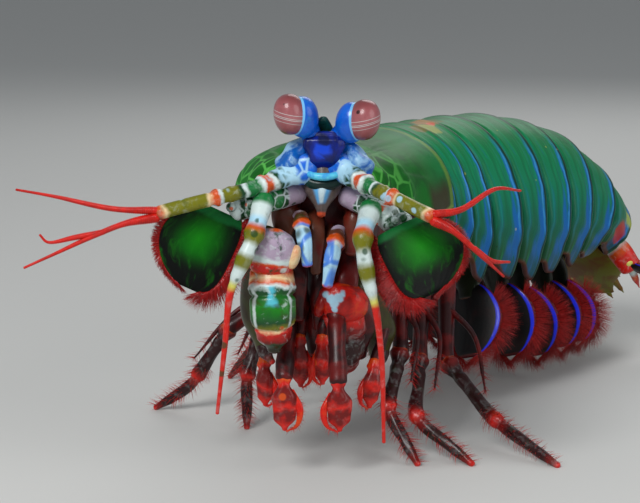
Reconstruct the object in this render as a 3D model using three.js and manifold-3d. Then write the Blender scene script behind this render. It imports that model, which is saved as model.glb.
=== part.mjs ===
// A peacock mantis shrimp at life size, standing on its walking legs.
// Millimetres, +Z up. The face looks toward -Y, the body trails away toward +X and +Y.
import * as THREE from 'three';
import { mergeVertices } from 'three/addons/utils/BufferGeometryUtils.js';
import Module from 'manifold-3d';

const wasm = await Module();
wasm.setup();

// Driving sizes of the animal
const gap = 0.38; // clearance cut round a piece, which leaves about 0.3 on slanted faces
const weldGrid = 0.005; // points are set on this grid, so that those that all but touch become one
const carapaceLength = 33;
const thoraxRingLengths = [5, 5.5, 6.5]; // thoracic rings 6, 7 and 8
const abdomenRingLength = 9.3; // rings 1 to 5
const abdomenRingCount = 6;
const lastRingLength = 9;
const telsonLength = 21;
const bodyHalfWidth = 15.6;
const backHeight = 50.2; // top of the back above the floor
const bodyHeight = 26.5; // from the back down to the tips of the side flaps
const corneaHeight = 6.1;
const corneaWidth = 4.9;
const scaleLength = 13.4; // the paddle of each second antenna, without its fringe
const scaleWidth = 12.4;
const fringeLength = 2.3;
const lockHalfWidth = 0.62; // a lock of hairs at its root
const bristleHalfWidth = 0.42;
const flagellumRadius = 0.34;
const pleopodStem = 7; // the broad stalk of a swimming limb
const pleopodLength = 11.8;
const pleopodWidth = 10;
const pleopodLeans = [-0.42, -0.06, 0.1, 0.16, 0.34]; // the front ones swing forward, the last ones back
const uropodReach = 13; // the outer plate of each tail limb
const uropodWidth = 6.4;
const footHalfWidth = 0.9;

// Colours of the shell
const shellGreen = 0x1f6b4a;
const shellTeal = 0x17594f;
const deepBlue = 0x1d3f9c;
const paleBlue = 0x8fb4dc;
const limbRed = 0xb2281c;
const limbMaroon = 0x4a1414;
const corneaPink = 0xb06a72;
const oliveShell = 0x4b5a24;
const darkPlate = 0x161f1c;

// Vectors and curves

const v = (x, y, z) => new THREE.Vector3(x, y, z);
const upward = v(0, 0, 1);

function smoothStep(t) {
  const u = Math.min(1, Math.max(0, t));
  return u * u * (3 - 2 * u);
}

// Value at t of a chain of [place, value] pairs, eased between neighbours
function profile(pairs, t) {
  if (t <= pairs[0][0]) return pairs[0][1];
  for (let i = 1; i < pairs.length; i += 1) {
    const [t0, a] = pairs[i - 1];
    const [t1, b] = pairs[i];
    if (t <= t1) return a + (b - a) * smoothStep((t - t0) / (t1 - t0));
  }
  return pairs[pairs.length - 1][1];
}

// The body's middle line: it leaves the head, swings to the side and then dips to the tail
const ringEnds = [carapaceLength];
for (const length of thoraxRingLengths) ringEnds.push(ringEnds[ringEnds.length - 1] + length);
for (let i = 1; i < abdomenRingCount; i += 1) {
  ringEnds.push(ringEnds[ringEnds.length - 1] + abdomenRingLength);
}
ringEnds.push(ringEnds[ringEnds.length - 1] + lastRingLength);
const tailStart = ringEnds[ringEnds.length - 1];
const bodyEnd = tailStart + telsonLength;

const headingTurns = [[0, 2], [carapaceLength, 31], [50, 36], [bodyEnd, 40]];
const pitchTurns = [[58, 0], [80, 13], [98, 38], [tailStart, 54], [bodyEnd, 50]];
const bodyStart = v(-0.4, 2, backHeight - bodyHeight / 2);

function bodyDirection(s) {
  const heading = THREE.MathUtils.degToRad(profile(headingTurns, s));
  const pitch = THREE.MathUtils.degToRad(profile(pitchTurns, s));
  return v(Math.sin(heading) * Math.cos(pitch), Math.cos(heading) * Math.cos(pitch), -Math.sin(pitch));
}

// Frame of the body at distance s from the front of the carapace
function bodyFrame(s) {
  const steps = 60;
  const centre = bodyStart.clone();
  for (let i = 0; i < steps; i += 1) {
    centre.addScaledVector(bodyDirection(((i + 0.5) * s) / steps), s / steps);
  }
  const back = bodyDirection(s);
  const left = back.clone().cross(upward).normalize(); // the animal's left, toward the camera's right
  const up = left.clone().cross(back).normalize();
  return { centre, back, left, up };
}

function inBody(frame, side, rise, along = 0) {
  return frame.centre.clone()
    .addScaledVector(frame.left, side)
    .addScaledVector(frame.up, rise)
    .addScaledVector(frame.back, along);
}

// Closed meshes and solids

function geometryOf(points, faces) {
  const geometry = new THREE.BufferGeometry();
  const coordinates = points.flatMap((p) => [p.x, p.y, p.z]);
  geometry.setAttribute('position', new THREE.Float32BufferAttribute(coordinates, 3));
  geometry.setIndex(faces.flat());
  return geometry;
}

function solidOf(geometry) {
  const plain = geometry.clone();
  plain.deleteAttribute('normal');
  plain.deleteAttribute('uv');
  const merged = mergeVertices(plain, 1e-4);
  const positions = merged.getAttribute('position').array;
  const faces = [];
  const index = merged.getIndex().array;
  for (let i = 0; i < index.length; i += 3) {
    const [a, b, c] = [index[i], index[i + 1], index[i + 2]];
    if (a !== b && b !== c && c !== a) faces.push(a, b, c);
  }
  const build = (list) => new wasm.Manifold(new wasm.Mesh({
    numProp: 3,
    vertProperties: new Float32Array(positions),
    triVerts: new Uint32Array(list),
  }));
  const solid = build(faces);
  if (solid.volume() > 0) return solid;
  const turned = [];
  for (let i = 0; i < faces.length; i += 3) turned.push(faces[i], faces[i + 2], faces[i + 1]);
  return build(turned);
}

// Triangles that close a flat ring of points, also where its outline is hollow
function capFaces(ring) {
  const normal = v(0, 0, 0);
  ring.forEach((p, i) => {
    const following = ring[(i + 1) % ring.length];
    normal.add(p.clone().sub(ring[0]).cross(following.clone().sub(ring[0])));
  });
  normal.normalize();
  const sideways = ring[1].clone().sub(ring[0]).normalize();
  const upwards = normal.clone().cross(sideways).normalize();
  const outline = ring.map((p) => new THREE.Vector2(p.dot(sideways), p.dot(upwards)));
  return THREE.ShapeUtils.triangulateShape(outline, []);
}

// Rings of equal count, one after another, closed at each end
function loft(rings) {
  const count = rings[0].length;
  const points = rings.flat();
  const faces = [];
  for (let r = 0; r + 1 < rings.length; r += 1) {
    for (let i = 0; i < count; i += 1) {
      const j = (i + 1) % count;
      const [a, b] = [r * count + i, r * count + j];
      faces.push([a, b, b + count], [a, b + count, a + count]);
    }
  }
  const last = (rings.length - 1) * count;
  for (const [a, b, c] of capFaces(rings[0])) faces.push([a, c, b]);
  for (const [a, b, c] of capFaces(rings[rings.length - 1])) faces.push([last + a, last + b, last + c]);
  return solidOf(geometryOf(points, faces));
}

function ellipseRing(centre, sideways, upwards, halfWidth, halfHeight, sides) {
  const ring = [];
  for (let i = 0; i < sides; i += 1) {
    const a = ((i + 0.5) * 2 * Math.PI) / sides;
    ring.push(centre.clone()
      .addScaledVector(sideways, halfWidth * Math.cos(a))
      .addScaledVector(upwards, halfHeight * Math.sin(a)));
  }
  return ring;
}

// A limb along joints: oval rings carried down a smooth curve, its half sizes given by profiles
function limb({ joints, width, height = width, steps = 10, sides = 10, face = v(0, -1, 0), grow = 0 }) {
  const curve = new THREE.CatmullRomCurve3(joints, false, 'centripetal');
  const rings = [];
  for (let i = 0; i <= steps; i += 1) {
    const t = i / steps;
    const tangent = curve.getTangentAt(t);
    const sideways = tangent.clone().cross(face).normalize();
    const upwards = sideways.clone().cross(tangent).normalize();
    const centre = curve.getPointAt(t);
    const halfWidth = profile(width, t) + grow;
    const halfHeight = profile(height, t) + grow;
    const reach = 0.45 * Math.min(halfWidth, halfHeight) + grow;
    const round = (shift) => ellipseRing(centre.clone().addScaledVector(tangent, shift * reach),
      sideways, upwards, 0.6 * halfWidth, 0.6 * halfHeight, sides);
    if (i === 0) rings.push(round(-1));
    rings.push(ellipseRing(centre, sideways, upwards, halfWidth, halfHeight, sides));
    if (i === steps) rings.push(round(1));
  }
  return loft(rings);
}

// An egg: rings from pole to pole along an axis
function egg({ centre, axis, across, long, wide, deep = wide, rings = 8, sides = 14, grow = 0 }) {
  const sideways = across.clone().addScaledVector(axis, -across.dot(axis)).normalize();
  const forwards = axis.clone().cross(sideways).normalize();
  const list = [];
  for (let i = 0; i < rings; i += 1) {
    const a = Math.PI * ((i + 0.5) / rings);
    const place = centre.clone().addScaledVector(axis, -Math.cos(a) * (long + grow));
    const swell = Math.sin(a) ** 0.85;
    list.push(ellipseRing(place, sideways, forwards, swell * (wide + grow), swell * (deep + grow), sides));
  }
  return loft(list);
}

// A thin curved plate: a middle surface at (u, v) thickened alike to both faces, split alike on both
function plate({ surface, thickness, across = 8, along = 8, grow = 0 }) {
  const front = [];
  const rear = [];
  const step = 1e-3;
  for (let j = 0; j <= along; j += 1) {
    for (let i = 0; i <= across; i += 1) {
      const [a, b] = [i / across, j / along];
      const p = surface(a, b);
      const a1 = a < 0.5 ? step : -step;
      const b1 = b < 0.5 ? step : -step;
      const du = surface(a + a1, b).sub(p).multiplyScalar(1 / a1);
      const dv = surface(a, b + b1).sub(p).multiplyScalar(1 / b1);
      const normal = du.clone().cross(dv).normalize();
      const half = thickness(a, b) / 2 + grow;
      if (i === 0 || i === across) p.addScaledVector(du.normalize(), (i ? 1 : -1) * grow);
      if (j === 0 || j === along) p.addScaledVector(dv.normalize(), (j ? 1 : -1) * grow);
      front.push(p.clone().addScaledVector(normal, half));
      rear.push(p.clone().addScaledVector(normal, -half));
    }
  }
  const row = across + 1;
  const total = front.length;
  const faces = [];
  for (let j = 0; j < along; j += 1) {
    for (let i = 0; i < across; i += 1) {
      const [a, b, c, d] = [j * row + i, j * row + i + 1, (j + 1) * row + i + 1, (j + 1) * row + i];
      faces.push([a, b, c], [a, c, d]);
      faces.push([total + a, total + c, total + b], [total + a, total + d, total + c]);
    }
  }
  const rim = [];
  for (let i = 0; i < across; i += 1) rim.push(i);
  for (let j = 0; j < along; j += 1) rim.push(j * row + across);
  for (let i = across; i > 0; i -= 1) rim.push(along * row + i);
  for (let j = along; j > 0; j -= 1) rim.push(j * row);
  rim.forEach((a, i) => {
    const b = rim[(i + 1) % rim.length];
    faces.push([a, total + a, b], [b, total + a, total + b]);
  });
  return solidOf(geometryOf([...front, ...rear], faces));
}

// A lock or spine: three sides that taper along a bent line from a root sunk in its carrier to a sharp tip
function lock({ root, away, bend = v(0, 0, 0), length, halfWidth, flat = 1, face = upward, sunk = 0.7 }) {
  const sideways = away.clone().cross(face).normalize();
  const upwards = sideways.clone().cross(away).normalize();
  const ring = (t, size) => {
    const reach = t * length - (t === 0 ? sunk : 0);
    const centre = root.clone().addScaledVector(away, reach).addScaledVector(bend, t * t * length);
    return [90, 210, 330].map((degrees) => {
      const a = THREE.MathUtils.degToRad(degrees);
      return centre.clone()
        .addScaledVector(sideways, size * Math.cos(a))
        .addScaledVector(upwards, size * flat * Math.sin(a));
    });
  };
  const points = [...ring(0, halfWidth), ...ring(0.5, halfWidth * 0.7)];
  points.push(root.clone().addScaledVector(away, length).addScaledVector(bend, length));
  const faces = [[0, 2, 1]];
  for (let i = 0; i < 3; i += 1) {
    const j = (i + 1) % 3;
    faces.push([i, j, j + 3], [i, j + 3, i + 3], [i + 3, j + 3, 6]);
  }
  return solidOf(geometryOf(points, faces));
}

// Locks set round the rim of an oval plate, from one shoulder round the tip to the other
function rimLocks(surface, count, length, { start = 0.6, halfWidth = lockHalfWidth } = {}) {
  const locks = [];
  for (let i = 0; i < count; i += 1) {
    const phi = start + ((2 * Math.PI - 2 * start) * (i + 0.5)) / count;
    const b = (1 - Math.cos(phi)) / 2;
    const a = phi < Math.PI ? 1 : 0;
    const rim = surface(a, b * 0.985);
    const inner = surface(0.5 + (a - 0.5) * 0.7, 0.45 + (b - 0.45) * 0.7);
    const away = rim.clone().sub(inner).normalize();
    const across = surface(0.6, 0.5).sub(surface(0.4, 0.5));
    const down = surface(0.5, 0.6).sub(surface(0.5, 0.4));
    const size = length * (0.7 + 0.3 * Math.sin(phi / 2)) * (i % 2 ? 0.88 : 1.05);
    const face = across.cross(down).normalize();
    const root = rim.addScaledVector(away, -0.15);
    locks.push(lock({ root, away, length: size, halfWidth, flat: 0.55, face }));
  }
  return locks;
}

// Bristles that stand off a limb between two places along it, leaning toward its tip
function limbBristles(joints, radius, places, length) {
  const curve = new THREE.CatmullRomCurve3(joints, false, 'centripetal');
  return places.map((t, i) => {
    const tangent = curve.getTangentAt(t);
    const sideways = tangent.clone().cross(v(0, -1, 0)).normalize();
    const upwards = sideways.clone().cross(tangent).normalize();
    const turn = i * 2.4;
    const off = sideways.multiplyScalar(Math.cos(turn)).addScaledVector(upwards, Math.sin(turn));
    return lock({
      root: curve.getPointAt(t).addScaledVector(off, radius * 0.8),
      away: off.clone().addScaledVector(tangent, 0.5).normalize(),
      length, halfWidth: bristleHalfWidth, face: tangent, sunk: radius * 0.4,
    });
  });
}

const join = (pieces) => pieces.reduce((sum, piece) => sum.add(piece));
const cut = (solid, tools) => tools.reduce((rest, tool) => rest.subtract(tool), solid);

function geometryFrom(solid) {
  const mesh = solid.getMesh();
  const geometry = new THREE.BufferGeometry();
  geometry.setAttribute('position', new THREE.BufferAttribute(new Float32Array(mesh.vertProperties), 3));
  geometry.setIndex(new THREE.BufferAttribute(new Uint32Array(mesh.triVerts), 1));
  return geometry;
}

// The largest closed surface of a solid, taken again once its points are on the welding grid
function largestOf(solid) {
  const larger = (best, part) => (part.volume() > best.volume() ? part : best);
  const largest = (whole) => whole.decompose().reduce(larger);
  const geometry = geometryFrom(largest(solid));
  const positions = geometry.getAttribute('position');
  positions.array.forEach((value, i) => {
    positions.array[i] = Math.round(value / weldGrid) * weldGrid;
  });
  return largest(solidOf(geometry));
}

// The shell of the trunk

// Half width and height of the trunk along its length
const widthAlong = [
  [0, 0.6], [carapaceLength * 0.4, 0.93], [carapaceLength, 1], [ringEnds[1], 0.88], [ringEnds[2], 0.93],
  [ringEnds[4], 1], [ringEnds[6], 1.02], [ringEnds[8], 0.97], [tailStart, 0.86], [bodyEnd, 0.8],
];
const depthAlong = [
  [0, 0.78], [ringEnds[1], 0.88], [ringEnds[3], 1.1], [ringEnds[5], 1.18], [ringEnds[7], 1.04],
  [tailStart, 0.62], [bodyEnd, 0.5],
];

const trunkHalfWidth = (s) => bodyHalfWidth * profile(widthAlong, s);
const trunkDepth = (s) => bodyHeight * profile(depthAlong, s);

// Cross section of a tail ring: an arch ending in two side flaps, with a narrower belly between them.
// shrink moves the arch inward, tuck moves the sides in as well, flap is how far down the flaps hang.
function ringSection(frame, halfWidth, depth, { shrink, tuck, flap, grow }) {
  const top = bodyHeight / 2 - shrink + grow;
  const archSteps = 8;
  const flapAngle = THREE.MathUtils.degToRad(102 + 22 * flap);
  const hw = halfWidth - shrink - tuck + grow;
  const hh = depth * 0.62 + 1.6 * grow;
  const right = [];
  for (let i = 0; i <= archSteps / 2; i += 1) {
    const a = (flapAngle * i) / (archSteps / 2);
    right.push([hw * Math.sin(a) ** 0.92, top - hh * (1 - Math.cos(a))]);
  }
  const tip = right[right.length - 1];
  const belly = bodyHeight / 2 - shrink - depth * 0.9 - grow;
  right.push([tip[0] - 1.1 - 2 * grow, tip[1] - 0.1]);
  right.push([hw * 0.66, top - hh * 1.28]);
  right.push([hw * 0.5, belly + 1.4]);
  right.push([hw * 0.34, belly]);
  const points = right.slice(1).map(([x, z]) => inBody(frame, x, z));
  const mirrored = right.slice(1).reverse().map(([x, z]) => inBody(frame, -x, z));
  return [inBody(frame, 0, right[0][1]), ...points, inBody(frame, 0, belly - 0.3), ...mirrored];
}

// One ring: a low neck that tucks under the ring before it, then the arch, then a raised rear rim
function trunkRing(from, to, { grow = 0, flap = 0.6 } = {}) {
  const length = to - from;
  const neck = 2.2;
  const stations = [
    [-neck, 1.6, 2], [-0.2, 1.4, 2], [length * 0.25, 0.25, 0], [length - gap, -0.1, 0],
  ];
  const rings = stations.map(([shift, shrink, tuck]) => {
    const s = from + shift + (shift === -neck ? -grow : 0) + (shift === length - gap ? grow : 0);
    const reach = profile([[-0.2, 0], [length * 0.2, 0.6], [length * 0.65, 1], [length, 1.2]], shift);
    const shape = { shrink, tuck, flap: flap * reach, grow };
    return ringSection(bodyFrame(s), trunkHalfWidth(s), trunkDepth(s), shape);
  });
  return loft(rings);
}

const rings = [];
for (let i = 0; i + 1 < ringEnds.length; i += 1) rings.push([ringEnds[i], ringEnds[i + 1]]);

function carapaceSection(frame, halfWidth, rise, drop, grow, under) {
  const steps = 12;
  const outer = [];
  const inner = [];
  for (let i = 0; i <= steps; i += 1) {
    const a = -1 + (2 * i) / steps;
    const x = Math.sin((a * Math.PI) / 2);
    const z = rise + grow - drop * Math.abs(a) ** 2.2;
    outer.push(inBody(frame, x * (halfWidth + grow), z));
    inner.push(inBody(frame, x * (0.93 * halfWidth - grow), z - under * (1 - 0.45 * Math.abs(a)) - 2 * grow));
  }
  return [...outer, ...inner.reverse()];
}

// The carapace: an arched shield, narrow in front and cut off square behind
function carapace(grow = 0) {
  const sections = [];
  const steps = 6;
  for (let i = 0; i <= steps; i += 1) {
    const t = i / steps;
    const s = carapaceLength * t + (i === 0 ? -grow : 0) + (i === steps ? grow : 0);
    const halfWidth = profile([[0, 8.6], [0.12, 11.2], [0.35, 14.6], [0.7, 16.2], [1, 15.6]], t);
    const drop = profile([[0, 4.4], [0.3, 9.5], [0.8, 13.5], [1, 12.6]], t);
    const rise = bodyHeight / 2 + profile([[0, -1.2], [0.25, 0], [1, 0.35]], t);
    sections.push(carapaceSection(bodyFrame(s), halfWidth, rise, drop, grow, 2));
  }
  return loft(sections);
}

// The trunk under the carapace, which carries the mouth limbs
function thoraxCore(grow = 0) {
  const sections = [];
  const steps = 4;
  for (let i = 0; i <= steps; i += 1) {
    const t = i / steps;
    const s = 2.5 + (carapaceLength - 2.5 + 1) * t + (i === 0 ? -grow : 0) + (i === steps ? grow : 0);
    const frame = bodyFrame(s);
    const halfWidth = profile([[0, 5.2], [0.3, 8.5], [1, 11]], t) + grow;
    const depth = profile([[0, 8.5], [0.4, 11], [1, 11.8]], t) + grow;
    const centre = inBody(frame, 0, bodyHeight / 2 - 1 - depth);
    sections.push(ellipseRing(centre, frame.left, frame.up, halfWidth, depth, 12));
  }
  return loft(sections);
}

// Rostral plate: a small shield between the eyes, pointed forward
function rostralPlate(grow = 0) {
  const hinge = bodyFrame(0);
  const root = inBody(hinge, 0, bodyHeight / 2 - 1.2);
  return plate({
    surface: (a, b) => {
      const x = (a - 0.5) * 7.6 * (1 - b) ** 0.75;
      const sag = 0.9 * (a - 0.5) ** 2 * 4 * (1 - b);
      return v(root.x + x + b, root.y + 0.6 - 3 * b, root.z + 1 + 5.6 * b ** 0.8 - sag);
    },
    thickness: (a, b) => 1.1 - 0.3 * b,
    across: 6,
    along: 5,
    grow,
  });
}

// The head

const headCentre = v(0.5, 0, 51);

function eyeBase(grow = 0) {
  return egg({
    centre: v(0.6, 0.6, 51.6), axis: v(1, 0, 0), across: v(0, 0, 1), long: 3.4, wide: 1.9, deep: 2.2,
    sides: 8, rings: 5, grow,
  });
}

// Each eye: the middle of its cornea, the way the stalk comes, and the tilt of its long axis
const eyes = {
  right: { centre: v(-4.5, -2.2, 56.1), foot: v(-1.1, 0.2, 52.2), axis: v(-0.12, -0.1, 1).normalize() },
  left: { centre: v(6.6, -1.6, 55.2), foot: v(2.4, 0.4, 52), axis: v(0.16, -0.1, 1).normalize() },
};

function cornea({ centre, axis }, grow = 0) {
  return egg({
    centre, axis, across: v(0, 1, 0), rings: 8, sides: 12, grow,
    long: corneaHeight / 2, wide: corneaWidth / 2 + 0.25, deep: corneaWidth / 2,
  });
}

// The stalk ends in a cup as tall as the cornea, which bulges out of its side away from the middle
function eyestalk(eye, grow = 0) {
  const inward = eye.foot.clone().sub(eye.centre).setY(0).setZ(0).normalize();
  const cupCentre = eye.centre.clone().addScaledVector(inward, 1.9).add(v(0, 0.9, -0.5));
  const cup = egg({
    centre: cupCentre, axis: eye.axis, across: v(0, 1, 0), long: 3.1, wide: 2.5, deep: 2.3,
    rings: 5, sides: 9, grow,
  });
  const neck = limb({
    joints: [eye.foot, eye.foot.clone().lerp(cupCentre, 0.5), cupCentre],
    width: [[0, 1.5], [1, 1.9]],
    steps: 2, sides: 8, grow,
  });
  return join([cup, neck]);
}

// The blue face plate between the eyes
function facePlate(grow = 0) {
  return egg({
    centre: v(0.6, -1.2, 50.4), axis: v(0, 0.12, 1).normalize(), across: v(1, 0, 0),
    long: 3.1, wide: 2.8, deep: 2.2, rings: 6, sides: 10, grow,
  });
}

function epistome(grow = 0) {
  return limb({
    joints: [v(0.5, 1.2, 47.2), v(0.3, 0.2, 44), v(0.2, -0.6, 40.8)],
    width: [[0, 3.4], [0.35, 3], [1, 0.7]],
    height: [[0, 2.2], [0.5, 2.2], [1, 0.8]],
    steps: 4, sides: 7, grow,
  });
}

// First antennae: three jointed lengths, then three whips each
const antennuleJoints = {
  right: [v(-2.3, 0.4, 47.6), v(-8.7, -4, 45.6), v(-15.5, -7, 44.2), v(-23.4, -9, 42.3)],
  left: [v(2.9, 0.7, 47.8), v(7.4, -5.6, 45.7), v(11.6, -11, 44.4), v(15.8, -15, 42.8)],
};

// Swellings at the joints of a jointed stalk
const jointed = (base, bumps, swell) => {
  const pairs = [];
  for (const t of bumps) {
    pairs.push([t - 0.06, base(t - 0.06)], [t, base(t) * swell], [t + 0.06, base(t + 0.06)]);
  }
  return [[0, base(0)], ...pairs, [1, base(1)]];
};

function antennule(side, grow = 0) {
  return limb({
    joints: antennuleJoints[side],
    width: jointed((t) => 1.05 + 1.5 * (1 - t) ** 5, [0.33, 0.64], 1.25),
    steps: 10, sides: 6, grow,
  });
}

const whipPaths = {
  right: [
    [v(-24, -9.1, 42.6), v(-30.2, -10.5, 43.1), v(-38.4, -12.5, 45.2), v(-43.6, -14, 46.4)],
    [v(-24, -9.1, 41.6), v(-28.5, -10.5, 40.9), v(-33, -12, 39.3), v(-38.5, -13.4, 36.9), v(-42.8, -14, 35)],
    [v(-31.6, -11.4, 39.8), v(-35.6, -12.6, 39.2), v(-39.4, -13.6, 38.7), v(-40.4, -14, 39.8)],
  ],
  left: [
    [v(16.3, -15.3, 43), v(20.2, -12.5, 43.2), v(26, -5, 45.2), v(30.6, 2, 44)],
    [v(16.3, -15.3, 42.1), v(19, -14.6, 40.6), v(23, -12.4, 36.9), v(27.2, -8, 32.6)],
    [v(22.4, -12.9, 37.6), v(25.2, -9.5, 35.2), v(28.3, -5.6, 34.3)],
  ],
};

function whips(side, grow = 0) {
  const [upper, lower, third] = whipPaths[side];
  const whip = (joints, root, steps) => limb({
    joints,
    width: [[0, root], [0.3, flagellumRadius * 1.25], [1, flagellumRadius * 0.7]],
    steps, sides: 4, grow,
  });
  const start = lower[0].clone().lerp(upper[0], 0.5);
  const knuckle = egg({
    centre: start, axis: v(0, 0, 1), across: v(1, 0, 0), long: 0.85, wide: 0.6, rings: 4, sides: 6, grow,
  });
  return join([knuckle, whip(upper, 0.6, 6), whip(lower, 0.75, 7), whip(third, 0.42, 4)]);
}

// Second antennae: a knobbed base, a paddle with a hair fringe, and a jointed stalk with one whip
const sideSign = { right: -1, left: 1 };
const antennaBases = {
  right: [v(-3.4, 1.6, 43.8), v(-8.4, -1.6, 42.9), v(-12.6, -3, 41.8)],
  left: [v(4.2, 1.6, 43.2), v(8.6, -1.6, 41.6), v(12.6, -3, 39.6)],
};

function antennaBase(side, grow = 0) {
  return limb({
    joints: antennaBases[side],
    width: [[0, 1.7], [0.45, 1.9], [0.75, 2.3], [1, 1.7]],
    height: [[0, 1.7], [0.5, 1.7], [0.8, 1.9], [1, 1.5]],
    steps: 6, sides: 8, grow,
  });
}

// Each paddle hangs from its root along "down", and spreads along "out"
const paddles = {
  right: {
    root: v(-14.4, -4, 41.6),
    down: v(-0.42, -0.16, -0.89).normalize(),
    out: v(-0.86, -0.22, 0.44).normalize(),
  },
  left: {
    root: v(11.4, -4.8, 39.4),
    down: v(0.4, -0.6, -0.7).normalize(),
    out: v(0.86, 0.1, 0.4).normalize(),
  },
};

// Half width of an oval paddle at t along its length
const ovalHalf = (t) => Math.sqrt(Math.max(0, 1 - (2 * t - 1) ** 2));

function paddleSurface({ root, down, out }, length, width, stem) {
  return (a, b) => {
    const t = stem + (1 - stem) * b;
    const half = (width / 2) * ovalHalf(0.5 + (t - 0.5) * 0.985) ** 0.85;
    const normal = down.clone().cross(out).normalize();
    const x = (2 * a - 1) * half;
    const bow = 0.9 * (1 - (x / (width / 2)) ** 2) - 0.5;
    return root.clone()
      .addScaledVector(down, length * (t - stem))
      .addScaledVector(out, x + 0.15 * width * Math.sin(Math.PI * t))
      .addScaledVector(normal, bow * 0.8);
  };
}

function antennalScale(side, grow = 0) {
  const surface = paddleSurface(paddles[side], scaleLength, scaleWidth, 0.06);
  const blade = plate({
    surface,
    thickness: (a, b) => 1.5 - 0.65 * Math.max(Math.abs(2 * a - 1), Math.abs(2 * b - 1)),
    across: 6,
    along: 6,
    grow,
  });
  return grow ? blade : join([blade, ...rimLocks(surface, 16, fringeLength)]);
}

const antennaJoints = {
  right: [
    v(-8.4, -4, 43.4), v(-9.9, -8, 38.4), v(-11.6, -9, 34.4),
    v(-13.2, -9, 30.6), v(-14.2, -8.4, 22), v(-15.5, -7, 11.4),
  ],
  left: [
    v(7.6, -3.4, 42), v(6.3, -9, 38.2), v(7, -10, 33),
    v(8.2, -10, 28.2), v(9.2, -8.6, 20), v(9.7, -6, 6.6),
  ],
};

function antenna(side, grow = 0) {
  return limb({
    joints: antennaJoints[side],
    width: [[0, 1.7], [0.12, 1.35], [0.17, 1.6], [0.22, 1.1], [0.29, 1.25], [0.36, 0.95], [0.41, 0.6],
      [0.6, 0.45], [1, 0.28]],
    steps: 14, sides: 6, grow,
  });
}

// Limbs of the mouth

const firstMaxillipeds = {
  right: [v(-3, 6.6, 39), v(-2.9, -0.6, 39.8), v(-2.2, -4.6, 36.6), v(-1.9, -4.8, 33.8)],
  left: [v(3, 6.6, 37), v(2.6, -0.6, 37.4), v(1.7, -4.6, 34.4), v(1.1, -4.8, 30.6)],
};

function maxilliped1(side, grow = 0) {
  return limb({
    joints: firstMaxillipeds[side],
    width: [[0, 1], [0.4, 1.2], [0.7, 1.05], [1, 0.6]],
    steps: 8, sides: 8, grow,
  });
}

// The smashing limbs: an upper arm folded up behind, a wrist at the top and the club hanging in front
const raptors = {
  right: {
    elbow: v(-8.4, 3.4, 19), wrist: v(-8.2, -0.6, 37.6), heel: v(-6.9, -4.6, 21.4), root: v(-4.6, 13, 35),
  },
  left: {
    elbow: v(9.6, 13.4, 15.6), wrist: v(5.6, 10.4, 27.4), heel: v(3.6, 8.4, 14.8), root: v(7, 18, 34),
  },
};

function raptorialArm(side, grow = 0) {
  const { root, elbow, wrist } = raptors[side];
  const bend = elbow.clone().lerp(root, 0.18).add(v(0, 0.6, 0.6));
  const bulge = elbow.clone().lerp(wrist, 0.4).add(v(sideSign[side] * 1.1, 1.2, 0));
  const merus = limb({
    joints: [elbow.clone().add(v(0, 0.4, 0.2)), bulge, wrist],
    width: [[0, 1.7], [0.3, 3], [0.75, 2.8], [1, 1.9]],
    height: [[0, 1.8], [0.3, 2.7], [0.75, 2.4], [1, 1.8]],
    steps: 5, sides: 8, grow,
  });
  const ischium = limb({
    joints: [root, bend, elbow.clone().add(v(0, 0.8, 1))],
    width: [[0, 2], [1, 1.5]],
    steps: 3, sides: 7, grow,
  });
  return join([merus, ischium]);
}

function raptorialClaw(side, grow = 0) {
  const { wrist, heel } = raptors[side];
  const top = wrist.clone().add(v(sideSign[side] * -0.4, -4, 0.4));
  const middle = wrist.clone().lerp(heel, 0.5).add(v(0, -2.3, 0));
  const carpus = egg({
    centre: top, axis: v(0, -0.3, 0.95).normalize(), across: v(1, 0, 0), long: 2.5, wide: 2.5,
    rings: 5, sides: 8, grow,
  });
  const club = limb({
    joints: [top.clone().add(v(0, 0.2, -1)), middle, heel.clone().add(v(0, 0, -0.6))],
    width: [[0, 1.9], [0.22, 2.5], [0.62, 3.4], [0.86, 2.6], [1, 1.2]],
    height: [[0, 1.7], [0.22, 2], [0.62, 2.7], [0.86, 2.2], [1, 1.1]],
    steps: 7, sides: 9, grow,
  });
  return join([carpus, club]);
}

// Maxillipeds 3 to 5: thin stems that end in small flat hands
const handArms = {
  right: [
    { root: [-3.6, 13, 34], knee: [-5, 3.4, 22.5], hand: [-5.5, -2, 15.8], tip: [-5.4, -3.2, 7.8], wide: 2.1 },
    { root: [-1.6, 11, 34], knee: [-2.6, 5, 25], hand: [-3.2, 3.4, 20.5], tip: [-3, 3.4, 13], wide: 1.5 },
    { root: [-4.8, 18, 34], knee: [-8.6, 9.4, 21], hand: [-8.8, 6.6, 16], tip: [-8.6, 5.4, 9.4], wide: 1.5 },
  ],
  left: [
    { root: [3, 12, 34], knee: [2.6, 0.4, 22.5], hand: [2.8, -3, 15.4], tip: [3, -3.6, 7.8], wide: 2.1 },
    { root: [1.4, 11, 34], knee: [0.8, 4.6, 25], hand: [0.4, 3.2, 20.5], tip: [0.4, 3.4, 13.4], wide: 1.4 },
    { root: [9, 21, 34], knee: [10.4, 12.4, 21], hand: [8.6, 7.6, 15.4], tip: [7.8, 5.6, 9], wide: 1.5 },
  ],
};

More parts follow.
